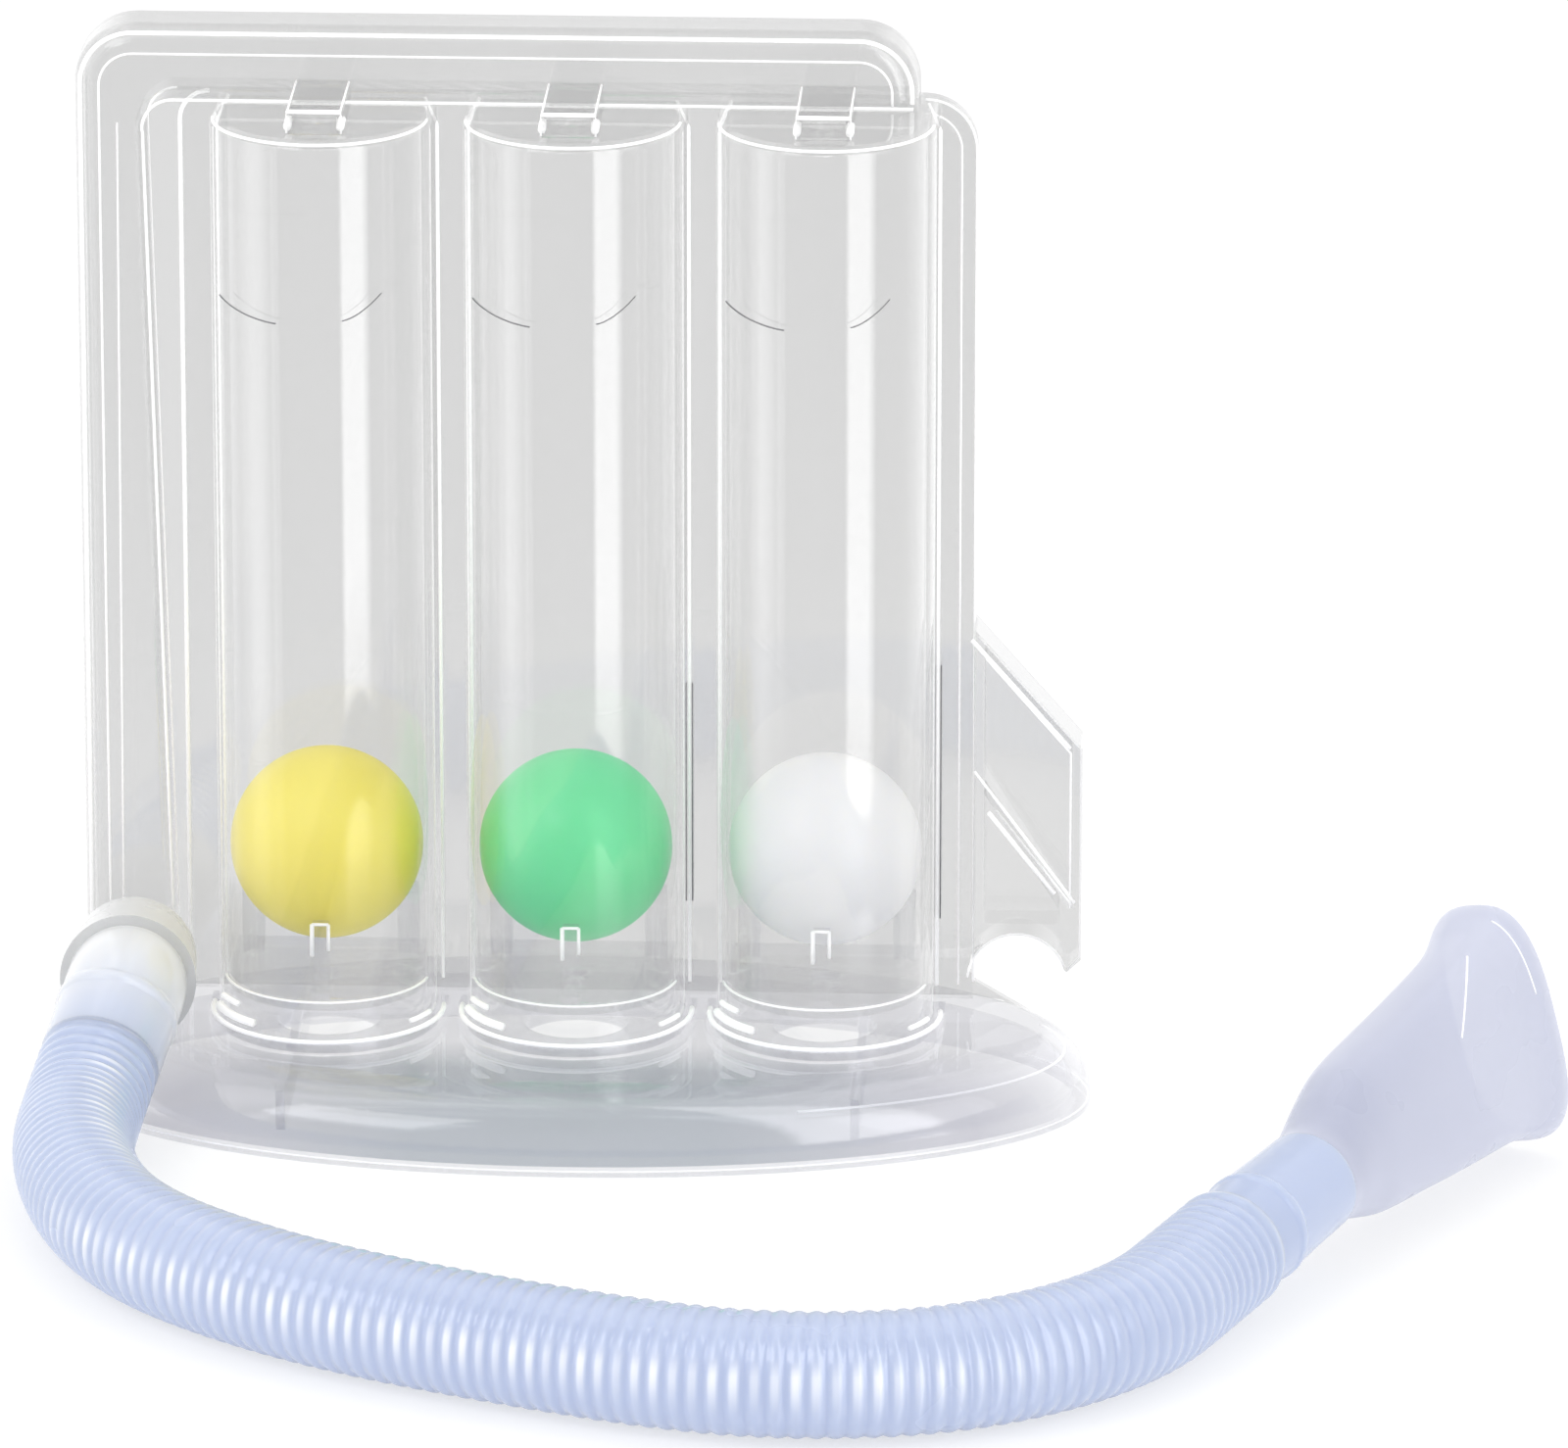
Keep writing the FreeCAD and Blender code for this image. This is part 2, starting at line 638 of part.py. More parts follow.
HOSE_ROUTE = [
    (-62.127, -24.5, 12.8),
    (-63.9, -33.6, 8.3),
    (-64.0, -50.5, 8.3),
    (-60.5, -67.5, 8.3),
    (-54.0, -82.5, 8.3),
    (-43.5, -95.0, 8.3),
    (-26.0, -108.5, 8.3),
    (-2.5, -120.0, 8.3),
    (22.0, -129.5, 8.3),
    (38.5, -131.0, 8.3),
    (54.5, -128.0, 8.3),
    (68.5, -119.5, 8.3),
    (79.0, -107.5, 8.3),
    (84.96, -92.49, 8.31),
    (89.65, -83.7, 9.5),
]
MOUTH_ROLL = 15.0
BEND_SHARE = 0.45
CUFF_BEND_SHARE = 0.95


def rounded_route(points, share=BEND_SHARE):
    """Wire of straight runs joined by tangent arcs, and the radii of those arcs."""
    corners = [FreeCAD.Vector(*point) for point in points]
    edges = []
    radii = []
    start = corners[0]
    for before, corner, after in zip(corners, corners[1:], corners[2:]):
        run_in = corner - before
        run_out = after - corner
        half_turn = run_in.getAngle(run_out) / 2
        reach = share * min(run_in.Length, run_out.Length)
        radius = reach / math.tan(half_turn)
        radii.append(radius)
        enter = corner - run_in.normalize() * reach
        leave = corner + run_out.normalize() * reach
        inward = (enter + leave) * 0.5 - corner
        depth = radius / math.cos(half_turn) - radius
        middle = corner + inward.normalize() * depth
        edges.append(Part.LineSegment(start, enter).toShape())
        edges.append(Part.Arc(enter, middle, leave).toShape())
        start = leave
    edges.append(Part.LineSegment(start, corners[-1]).toShape())
    return Part.Wire(edges), radii


def swept_tube(path, radius):
    first = path.Edges[0]
    begin = first.valueAt(first.FirstParameter)
    direction = first.tangentAt(first.FirstParameter)
    circle = Part.Wire([Part.makeCircle(radius, begin, direction)])
    solid = path.makePipeShell([circle], True, False)
    share = solid.Volume / (math.pi * radius ** 2 * path.Length)
    if abs(share - 1) > 0.01:
        raise RuntimeError("the tube's volume is off by a factor of %.3f" % share)
    return solid


def make_hose():
    path, radii = rounded_route(HOSE_ROUTE)
    print("hose length %.1f, bend radii" % path.Length, [round(radius, 1) for radius in radii])
    hose = doc.addObject("Part::Feature", "hose")
    hose.Shape = swept_tube(path, size("sizes.hose_dia / 2"))
    keep(hose, "hose")


def make_port_cuff():
    """Smooth hose end: a plug inside the collar, then a short bend down to the hose."""
    x = size(cells(PORT_X))
    z = size("sizes.port_height")
    mouth = size(cells(DUCT_FRONT + " - collar_length - end_gap"))
    plug = Part.makeCylinder(
        size(cells(PLUG_RADIUS)),
        size("sizes.plug_length"),
        FreeCAD.Vector(x, mouth - OVERCUT, z),
        FreeCAD.Vector(0, 1, 0),
    )
    leave, beyond = (FreeCAD.Vector(*point) for point in HOSE_ROUTE[:2])
    run = beyond - leave
    corner = leave + run * ((z - leave.z) / run.z)
    bend = [(x, mouth, z), tuple(corner), tuple(leave)]
    path, radii = rounded_route(bend, CUFF_BEND_SHARE)
    print("cuff bend radius", [round(radius, 1) for radius in radii])
    cuff = doc.addObject("Part::Feature", "port_cuff")
    cuff.Shape = swept_tube(path, size("sizes.hose_dia / 2")).fuse(plug).removeSplitter()
    keep(cuff, "port_cuff")


def mouth_frame():
    """Placement at the hose's end: Z along the mouthpiece, X across its wide side."""
    start = FreeCAD.Vector(*HOSE_ROUTE[-1])
    along = (start - FreeCAD.Vector(*HOSE_ROUTE[-2])).normalize()
    level = FreeCAD.Vector(along.y, -along.x, 0).normalize()
    upward = level.cross(along)
    roll = math.radians(MOUTH_ROLL)
    wide = upward * math.cos(roll) - level * math.sin(roll)
    rotation = FreeCAD.Rotation(wide, along.cross(wide), along, "ZXY")
    return FreeCAD.Placement(start, rotation)


def make_mouth_cuff():
    sleeve = "( neck_radius + fit_gap + mouth_cuff_wall )"
    bore = "( neck_radius + fit_gap )"
    body = turned("mouth_cuff", [
        ("0", "0"),
        ("hose_dia / 2", "0"),
        ("hose_dia / 2", "mouth_cuff_collar"),
        (sleeve, "mouth_cuff_taper"),
        (sleeve, "mouth_cuff_length"),
        (bore, "mouth_cuff_length"),
        (bore, "mouth_cuff_length - neck_insert - end_gap"),
        ("0", "mouth_cuff_length - neck_insert - end_gap"),
    ])
    body.Placement = mouth_frame()


# Mouthpiece: a round neck that flattens into an oval bill with a flared lip

BILL_STEPS = (
    # share of the bill's length, then how far the section has gone from neck to bill
    # for its wide and its thin side
    (0.12, 0.35, 0.4),
    (0.24, 0.56, 0.5),
    (0.45, 0.68, 0.8),
    (0.70, 0.82, 1.0),
    (0.88, 0.96, 1.0),
)


def join(name, pieces):
    fused = doc.addObject("Part::MultiFuse", name)
    fused.Shapes = pieces
    return fused


def cut(name, base, tool):
    result = doc.addObject("Part::Cut", name)
    result.Base = base
    result.Tool = tool
    return result


def make_bill(name, wall):
    """Loft from the round neck to the open lip; wall is how far it lies inside."""
    start = "( mouth_cuff_length + neck_free )"
    spots = [(start, "neck_radius", "neck_radius")]
    for along, wide, thin in BILL_STEPS:
        spots.append((
            start + " + %.2f * bill_length" % along,
            "neck_radius + %.2f * ( bill_half_width - neck_radius )" % wide,
            "neck_radius + %.2f * ( bill_half_thick - neck_radius )" % thin,
        ))
    spots.append((start + " + bill_length - 0.3 * lip_length",
                  "bill_half_width + 0.9 * lip_flare", "bill_half_thick + 0.9 * lip_flare"))
    spots.append((start + " + bill_length", "bill_half_width + lip_flare",
                  "bill_half_thick + lip_flare"))
    ovals = []
    for index, (height, wide, thin) in enumerate(spots):
        oval = doc.addObject("Part::Ellipse", "%s_oval_%d" % (name, index))
        bind(oval, MajorRadius=wide + " - " + wall, MinorRadius=thin + " - " + wall,
             Placement__Base__z=height)
        ovals.append(oval)
    loft = doc.addObject("Part::Loft", name)
    loft.Sections = ovals
    loft.Solid = True
    loft.Ruled = False
    return loft


def make_neck(name, wall):
    neck = doc.addObject("Part::Cylinder", name)
    bind(neck, Radius="neck_radius - " + wall, Height="neck_insert + neck_free",
         Placement__Base__z="mouth_cuff_length - neck_insert")
    return neck


def make_mouthpiece():
    outer = join("mouthpiece_outer", [make_neck("neck_outer", "0"), make_bill("bill_outer", "0")])
    inner = join("mouthpiece_inner", [make_neck("neck_inner", "bill_wall"),
                                      make_bill("bill_inner", "bill_wall")])
    mouthpiece = cut("mouthpiece", outer, inner)
    mouthpiece.Placement = mouth_frame()
    keep(mouthpiece, "mouthpiece")


make_front_shell()
make_back_panel()
make_duct_shell()
make_foot()
for chamber_name, chamber_side in CHAMBERS:
    make_inlet_disc(chamber_name, chamber_side)
    make_ball(chamber_name, chamber_side)
    make_outlet_hood(chamber_name, chamber_side)
make_port_collar()
make_port_cuff()
make_hose()
make_mouth_cuff()
make_mouthpiece()

doc.recompute()
for item in doc.Objects:
    if "Invalid" in item.State or "Error" in item.State:
        raise RuntimeError(item.Label + " failed to build")
for part in subparts:
    if part.Shape.isNull() or not part.Shape.isValid():
        raise RuntimeError(part.Label + " has no valid shape")
for part in subparts:
    part.Shape.exportStep("parts/%s.step" % part.Label)
    box = part.Shape.BoundBox
    print("%-20s solids %d  volume %8.1f  z %6.1f to %6.1f" % (
        part.Label, len(part.Shape.Solids), part.Shape.Volume, box.ZMin, box.ZMax))
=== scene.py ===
import math

import bmesh
import bpy
from mathutils import Matrix, Vector


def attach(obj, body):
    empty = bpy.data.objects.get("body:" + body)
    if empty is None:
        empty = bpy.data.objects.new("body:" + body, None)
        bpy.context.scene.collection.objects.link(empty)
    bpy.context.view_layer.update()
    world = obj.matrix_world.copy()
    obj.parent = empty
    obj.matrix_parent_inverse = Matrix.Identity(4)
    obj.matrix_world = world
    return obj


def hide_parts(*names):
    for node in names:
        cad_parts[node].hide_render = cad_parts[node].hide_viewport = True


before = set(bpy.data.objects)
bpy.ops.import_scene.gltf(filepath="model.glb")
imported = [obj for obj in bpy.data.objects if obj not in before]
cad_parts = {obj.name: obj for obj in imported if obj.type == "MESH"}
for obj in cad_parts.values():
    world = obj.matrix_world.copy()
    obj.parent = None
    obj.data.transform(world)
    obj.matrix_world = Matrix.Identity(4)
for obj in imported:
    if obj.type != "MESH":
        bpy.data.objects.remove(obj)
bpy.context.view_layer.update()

MM = 0.001


# Camera at the photograph's viewing angle

ELEVATION, YAW, ROLL = (math.radians(angle) for angle in (17.636, 2.535, 0.049))
CAMERA_PLACE = (0.10449, -1.72795, 0.60270)
FOCAL_LENGTH_IN_PIXELS = 13797.0
PHOTO_WIDTH_IN_PIXELS = 1600.0
SENSOR_WIDTH = 36.0


def make_camera():
    forward = Vector((
        -math.sin(YAW) * math.cos(ELEVATION),
        math.cos(YAW) * math.cos(ELEVATION),
        -math.sin(ELEVATION),
    ))
    right = Vector((math.cos(YAW), math.sin(YAW), 0.0))
    up = right.cross(forward)
    across = right * math.cos(ROLL) + up * math.sin(ROLL)
    upright = up * math.cos(ROLL) - right * math.sin(ROLL)
    camera_data = bpy.data.cameras.new("camera")
    camera_data.sensor_fit = "HORIZONTAL"
    camera_data.sensor_width = SENSOR_WIDTH
    camera_data.lens = FOCAL_LENGTH_IN_PIXELS * SENSOR_WIDTH / PHOTO_WIDTH_IN_PIXELS
    camera_data.clip_start = 0.05
    camera_data.clip_end = 50.0
    camera = bpy.data.objects.new("camera", camera_data)
    turned = Matrix((across, upright, -forward)).transposed().to_4x4()
    camera.matrix_world = Matrix.Translation(CAMERA_PLACE) @ turned
    bpy.context.scene.collection.objects.link(camera)
    bpy.context.scene.camera = camera


make_camera()


# Mesh helpers

def add_object(name, mesh):
    made = bpy.data.objects.new(name, mesh)
    bpy.context.scene.collection.objects.link(made)
    return made


def smooth_object(name, vertices, faces):
    """Smooth closed mesh whose faces are all turned outwards."""
    mesh = bpy.data.meshes.new(name)
    mesh.from_pydata(vertices, [], faces)
    mesh.update()
    shell = bmesh.new()
    shell.from_mesh(mesh)
    bmesh.ops.recalc_face_normals(shell, faces=shell.faces)
    shell.to_mesh(mesh)
    shell.free()
    for face in mesh.polygons:
        face.use_smooth = True
    return add_object(name, mesh)


def band(count, lower, upper):
    """Faces between two rings of count points; lower and upper are their first points."""
    faces = []
    for i in range(count):
        j = (i + 1) % count
        faces.append((lower + i, lower + j, upper + j, upper + i))
    return faces


def caps(count, first, last):
    """The faces that close a tube at its first and at its last ring."""
    return [tuple(first + i for i in reversed(range(count))),
            tuple(last + i for i in range(count))]


def loft(name, rings, joined=False):
    """Skin over rings of equal length, capped at both ends or joined from last to first."""
    count = len(rings[0])
    starts = [index * count for index in range(len(rings))]
    faces = []
    for lower, upper in zip(starts, starts[1:] + starts[:1] if joined else starts[1:]):
        faces += band(count, lower, upper)
    if not joined:
        faces += caps(count, starts[0], starts[-1])
    return smooth_object(name, [point for ring in rings for point in ring], faces)


def spline_points(name, route):
    """Points along a smooth NURBS line; the route holds its control points in millimetres."""
    curve = bpy.data.curves.new(name, "CURVE")
    curve.dimensions = "3D"
    spline = curve.splines.new("NURBS")
    spline.points.add(len(route) - 1)
    for point, place in zip(spline.points, route):
        point.co = (place[0] * MM, place[1] * MM, place[2] * MM, 1.0)
    spline.order_u = 3
    spline.use_endpoint_u = True
    curve.resolution_u = 40
    holder = bpy.data.objects.new(name, curve)
    mesh = bpy.data.meshes.new_from_object(holder)
    points = [vertex.co.copy() for vertex in mesh.vertices]
    bpy.data.objects.remove(holder)
    return points


def spaced(points, step):
    """Points at even distances along a line of points, and the line's length."""
    travelled = [0.0]
    for before, after in zip(points, points[1:]):
        travelled.append(travelled[-1] + (after - before).length)
    total = travelled[-1]
    count = max(2, int(round(total / step)))
    result = []
    spot = 0
    for index in range(count + 1):
        wanted = total * index / count
        while spot < len(points) - 2 and travelled[spot + 1] < wanted:
            spot += 1
        run = travelled[spot + 1] - travelled[spot]
        share = 0.0 if run == 0 else (wanted - travelled[spot]) / run
        result.append(points[spot].lerp(points[spot + 1], min(max(share, 0.0), 1.0)))
    return result, total


def tube_rings(points, radius_at, sides):
    """Rings of a round tube along points; radius_at gives the radius from the distance run."""
    rings = []
    distance = 0.0
    tangents = []
    for index in range(len(points)):
        before = points[max(index - 1, 0)]
        after = points[min(index + 1, len(points) - 1)]
        tangents.append((after - before).normalized())
    rises = abs(tangents[0].z) >= 0.99
    level = Vector((0, 1, 0)) if rises else Vector((0, 0, 1))
    side = tangents[0].cross(level).normalized()
    for index, point in enumerate(points):
        if index:
            distance += (point - points[index - 1]).length
        tangent = tangents[index]
        side = (side - tangent * side.dot(tangent)).normalized()
        lift = side.cross(tangent).normalized()
        radius = radius_at(distance)
        rings.append([
            point + side * (radius * math.cos(2 * math.pi * i / sides))
            + lift * (radius * math.sin(2 * math.pi * i / sides))
            for i in range(sides)
        ])
    return rings


def ramp(value, start, stop):
    """0 up to the start, 1 from the stop on, and straight between them."""
    return min(max((value - start) / (stop - start), 0.0), 1.0)


def stepped(profile, value):
    """Value read from pairs of place and size, with straight runs between them."""
    for (start, low), (stop, high) in zip(profile, profile[1:]):
        if value <= stop:
            return low + (high - low) * ramp(value, start, stop)
    return profile[-1][1]


# Hose: corrugated tube from the port to the mouthpiece

HOSE_ROUTE = [
    (-62.127, -24.5, 12.8),
    (-63.9, -33.6, 8.3),
    (-64.0, -50.5, 8.3),
    (-60.5, -67.5, 8.3),
    (-54.0, -82.5, 8.3),
    (-43.5, -95.0, 8.3),
    (-26.0, -108.5, 8.3),
    (-2.5, -120.0, 8.3),
    (22.0, -129.5, 8.3),
    (38.5, -131.0, 8.3),
    (54.5, -128.0, 8.3),
    (68.5, -119.5, 8.3),
    (79.0, -107.5, 8.3),
    (84.96, -92.49, 8.31),
    (89.65, -83.7, 9.5),
]
HOSE_RADIUS = 8.1 * MM
HOSE_SIDES = 72
RIB_PITCH = 2.3 * MM
RIB_DEPTH = 0.28 * MM
# below 1 the ribs' crests are wider than their valleys
RIB_FULLNESS = 0.7
RINGS_IN_A_RIB = 10
# share of a rib's height where its painted glint starts and where it is full
GLINT_LOW, GLINT_FULL = 0.35, 0.85
# turns in degrees of the painted glints on the hose's first stretch and on the rest of it
FIRST_TURN, FIRST_SPREAD = 118, 20
REST_TURN, REST_SPREAD_ABOVE, REST_SPREAD_BELOW = 18, 12, 25
HOSE_END = Vector(HOSE_ROUTE[-1]) * MM
MOUTH_AXIS = (HOSE_END - Vector(HOSE_ROUTE[-2]) * MM).normalized()


def near_turn(turn, centre, spread):
    """1 at the centre, falling off to both sides."""
    return math.exp(-((turn - centre) / spread) ** 2)


def painted_rib_glint(run, left, turn):
    """Painted glint, a pale highlight, of a rib at a turn, from the millimetres run and left along
    the hose.
    """
    first = ramp(run, 4, 12) * ramp(run, 62, 40)
    rest = ramp(run, 48, 62) * ramp(left, 40, 70)
    rest_spread = REST_SPREAD_ABOVE if turn > REST_TURN else REST_SPREAD_BELOW
    return max(first * near_turn(turn, FIRST_TURN, FIRST_SPREAD),
               rest * near_turn(turn, REST_TURN, rest_spread))


def make_hose():
    line, length = spaced(spline_points("hose_line", HOSE_ROUTE), RIB_PITCH / RINGS_IN_A_RIB)
    ribs = round(length / RIB_PITCH)

    def wave(distance):
        return 0.5 - 0.5 * math.cos(2 * math.pi * ribs * distance / length)

    def radius_at(distance):
        return HOSE_RADIUS - RIB_DEPTH * (1 - wave(distance) ** RIB_FULLNESS)

    hose = loft("corrugated_hose", tube_rings(line, radius_at, HOSE_SIDES))
    # painted glints: how pale each point is painted, as highlights on the rib crests
    painted_glints = hose.data.attributes.new("painted_glint", "FLOAT", "POINT")
    for index in range(len(line)):
        distance = length * index / (len(line) - 1)
        rib = int(ribs * distance / length)
        uneven = 0.66 + 0.22 * math.sin(1.7 * rib)
        crest = ramp(wave(distance), GLINT_LOW, GLINT_FULL) * uneven
        run, left = distance / MM, (length - distance) / MM
        for i in range(HOSE_SIDES):
            turn = (360 * i / HOSE_SIDES + 180) % 360 - 180
            painted_glints.data[index * HOSE_SIDES + i].value = crest * painted_rib_glint(run, left, turn)
    return hose, line, length


hose, hose_line, hose_length = make_hose()
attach(hose, "hose_line")
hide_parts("hose")


# Cuffs: the hose's smooth ends

PORT_CUFF_ROUTE = [
    (-60.0, -0.2, 18.2),
    (-60.0, -8.0, 18.2),
    (-60.0, -14.2, 18.2),
    (-61.0, -19.1, 15.6),
    (-62.1, -24.5, 12.8),
    (-62.35, -25.7, 12.2),
]
# way along the cuff and radius there, in millimetres
PORT_CUFF_PROFILE = [
    (0.0, 7.5), (8.9, 7.52), (9.4, 8.0), (11.0, 8.1), (17.2, 8.12),
    (17.8, 8.4), (18.6, 8.4), (19.3, 8.12), (24.0, 8.1), (40.0, 8.05),
]
MOUTH_CUFF_PROFILE = [
    (-1.0, 7.3), (0.0, 7.35), (0.6, 7.0), (1.6, 6.98), (5.2, 7.35), (5.8, 7.6),
    (6.6, 7.6), (7.2, 7.3), (14.0, 7.12), (20.9, 7.0), (21.2, 6.85),
]
MOUTH_CUFF_START, MOUTH_CUFF_LENGTH = -1.0, 22.2
MOUTH_CUFF_STEPS = 110


def make_port_cuff():
    line, _ = spaced(spline_points("port_cuff_line", PORT_CUFF_ROUTE), 0.25 * MM)

    def radius_at(distance):
        return stepped(PORT_CUFF_PROFILE, distance / MM) * MM

    return loft("port_cuff_sleeve", tube_rings(line, radius_at, HOSE_SIDES))


def make_mouth_cuff():
    line = []
    for index in range(MOUTH_CUFF_STEPS + 1):
        along = MOUTH_CUFF_START + MOUTH_CUFF_LENGTH * index / MOUTH_CUFF_STEPS
        line.append(HOSE_END + MOUTH_AXIS * (along * MM))

    def radius_at(distance):
        return stepped(MOUTH_CUFF_PROFILE, distance / MM + MOUTH_CUFF_START) * MM

    return loft("mouth_cuff_sleeve", tube_rings(line, radius_at, HOSE_SIDES))


port_cuff = make_port_cuff()
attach(port_cuff, "hose_line")
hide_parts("port_cuff")
mouth_cuff = make_mouth_cuff()
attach(mouth_cuff, "hose_line")
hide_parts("mouth_cuff")


# Mouthpiece: a round neck that opens into a flattened oval bill with a flared lip

MOUTH_ROLL = math.radians(12.0)
MOUTH_SIDES = 96
NECK_RADIUS = 6.7
NECK_DEPTHS = (9.0, 4.0)
ROUND = 2.0
BILL_START = 22.2
BILL_WALL = 1.1
BILL_STEPS = 90
# way from the neck, half width, half thickness, squareness of the section, rise of its centre
BILL = [
    (0.0, 6.75, 6.75, ROUND, 0.0),
    (1.2, 6.9, 6.8, ROUND, 0.1),
    (3.0, 7.5, 6.9, 2.05, 0.3),
    (6.0, 8.9, 7.0, 2.1, 0.6),
    (10.0, 10.4, 7.1, 2.2, 0.8),
    (14.0, 11.1, 7.1, 2.3, 0.8),
    (20.0, 11.7, 7.1, 2.4, 0.6),
    (27.0, 12.4, 7.1, 2.5, 0.3),
    (34.0, 13.1, 7.1, 2.6, 0.1),
    (40.0, 13.7, 7.1, 2.7, 0.0),
    (44.0, 14.2, 7.2, 2.8, 0.0),
    (46.5, 14.8, 7.4, 2.9, 0.0),
    (48.5, 15.6, 7.8, 2.9, 0.0),
    (50.5, 16.4, 8.3, 2.9, 0.0),
    (52.0, 16.8, 8.5, 2.9, 0.0),
    (53.0, 16.7, 8.4, 2.9, 0.0),
]
BILL_LENGTH = BILL[-1][0]


def catmull(table, column, value):
    """Smooth value from a table of rows that start with their place."""
    for i in range(len(table) - 1):
        if value <= table[i + 1][0]:
            break
    p0, p1 = table[max(i - 1, 0)], table[i]
    p2, p3 = table[i + 1], table[min(i + 2, len(table) - 1)]
    t = (value - p1[0]) / (p2[0] - p1[0])
    run = p2[0] - p1[0]
    slope1 = (p2[column] - p0[column]) / (p2[0] - p0[0]) * run
    slope2 = (p3[column] - p1[column]) / (p3[0] - p1[0]) * run
    t2, t3 = t * t, t * t * t
    return ((2 * t3 - 3 * t2 + 1) * p1[column] + (t3 - 2 * t2 + t) * slope1
            + (-2 * t3 + 3 * t2) * p2[column] + (t3 - t2) * slope2)


def bill_section(spot):
    """Half width, half thickness, squareness and rise of the bill's section at a spot."""
    return [catmull(BILL, column, spot) for column in (1, 2, 3, 4)]


def mouth_axes():
    """The mouthpiece's wide and thin directions, rolled about its axis."""
    level = Vector((MOUTH_AXIS.y, -MOUTH_AXIS.x, 0)).normalized()
    upward = level.cross(MOUTH_AXIS)
    wide = upward * math.cos(MOUTH_ROLL) - level * math.sin(MOUTH_ROLL)
    return wide, MOUTH_AXIS.cross(wide)


def squared(angle, half_wide, half_thin, square):
    """Point on an oval at an angle; the oval grows squarer as square goes over 2."""
    c, s = math.cos(angle), math.sin(angle)
    return (math.copysign(abs(c) ** (2 / square), c) * half_wide,
            math.copysign(abs(s) ** (2 / square), s) * half_thin)


def oval_ring(along, half_wide, half_thin, square, rise=0.0):
    wide, thin = mouth_axes()
    centre = HOSE_END + MOUTH_AXIS * (along * MM) + wide * (rise * MM)
    ring = []
    for i in range(MOUTH_SIDES):
        x, y = squared(2 * math.pi * i / MOUTH_SIDES, half_wide, half_thin, square)
        ring.append(centre + wide * (x * MM) + thin * (y * MM))
    return ring


def bill_point(spot, turn, lift):
    """A point lifted off the bill's outside, in millimetres; turn 0 is its upper edge."""
    half_wide, half_thin, square, rise = bill_section(spot)
    wide, thin = mouth_axes()
    x, y = squared(math.radians(turn), half_wide + lift, half_thin + lift, square)
    axis_point = HOSE_END / MM + MOUTH_AXIS * (BILL_START + spot)
    return tuple(axis_point + wide * (x + rise) + thin * y)


def make_mouthpiece():
    spots = [i * BILL_LENGTH / BILL_STEPS for i in range(BILL_STEPS + 1)]
    neck = [BILL_START - depth for depth in NECK_DEPTHS]
    rings = [oval_ring(along, NECK_RADIUS, NECK_RADIUS, ROUND) for along in neck]
    rings += [oval_ring(BILL_START + spot, *bill_section(spot)) for spot in spots]
    _, rim_wide, rim_thin, rim_square, _ = BILL[-1]
    for turn in (30, 60, 90, 120, 150):
        angle = math.radians(turn)
        along = BILL_START + BILL_LENGTH + BILL_WALL / 2 * math.sin(angle)
        shrink = BILL_WALL / 2 * (1 - math.cos(angle))
        rings.append(oval_ring(along, rim_wide - shrink, rim_thin - shrink, rim_square))
    for spot in reversed(spots):
        half_wide, half_thin, square, rise = bill_section(spot)
        rings.append(oval_ring(
            BILL_START + spot, half_wide - BILL_WALL, half_thin - BILL_WALL, square, rise))
    bore = NECK_RADIUS - BILL_WALL
    rings += [oval_ring(along, bore, bore, ROUND) for along in reversed(neck)]
    return loft("mouthpiece_bill", rings, joined=True)


mouthpiece = make_mouthpiece()
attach(mouthpiece, "mouthpiece")
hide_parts("mouthpiece")


# Painted highlights: thin white beads along the rims of the clear pieces, where their edges catch
# light, all in millimetres

PITCH = 33.6
CHAMBERS = (-PITCH, 0.0, PITCH)
TUBE_RADIUS = 14.7
TUBE_Y = -0.9
ROOT_Y = 11.1
FLANGE_Y = 11.3
FIN_Y = 6.75
STEP_Y = 5.0
DUCT_CORNER = 8.0
POST_TOP = 28.1
HOOD_TOP = 140.1
BEAD_SIDES = 8
ARC_STEPS = 14
CHAMBER_ARC_STEPS = 28


def arc(centre, radius, start, stop):
    """Points on a circle in the plane of the panel, from one angle in degrees to another."""
    points = []
    for index in range(ARC_STEPS + 1):
        angle = math.radians(start + (stop - start) * index / ARC_STEPS)
        points.append((centre[0] + radius * math.cos(angle), centre[1],
                       centre[2] + radius * math.sin(angle)))
    return points


def around(centre, angle, radius, z):
    """Point on a level circle round a chamber; angle 0 faces the viewer and grows rightwards."""
    return centre + radius * math.sin(angle), TUBE_Y - radius * math.cos(angle), z


def chamber_arc(centre, z, radius, start, stop):
    """Points on a level circle round a chamber, from one angle in degrees to another."""
    points = []
    for index in range(CHAMBER_ARC_STEPS + 1):
        angle = math.radians(start + (stop - start) * index / CHAMBER_ARC_STEPS)
        points.append(around(centre, angle, radius, z))
    return points


def foot_arc(half_width, half_depth, z, start, stop):
    """Points on a level oval round the foot, from one angle in degrees to another."""
    points = []
    for turn in range(start, stop, 3):
        angle = math.radians(turn)
        points.append((half_width * math.cos(angle), half_depth * math.sin(angle), z))
    return points


def rising_line(x, y, low, high):
    return [(x, y, low), (x, y, high)]


def make_beads(name, lines, body="stand"):
    """One piece made of thin round beads, each along its own line of points."""
    vertices, faces = [], []
    for points, radius in lines:
        rings = tube_rings([Vector(point) * MM for point in points],
                           lambda distance: radius * MM, BEAD_SIDES)
        starts = [len(vertices) + index * BEAD_SIDES for index in range(len(rings))]
        vertices += [point for ring in rings for point in ring]
        for lower, upper in zip(starts, starts[1:]):
            faces += band(BEAD_SIDES, lower, upper)
        faces += caps(BEAD_SIDES, starts[0], starts[-1])
    made = smooth_object(name, vertices, faces)
    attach(made, body)
    return made


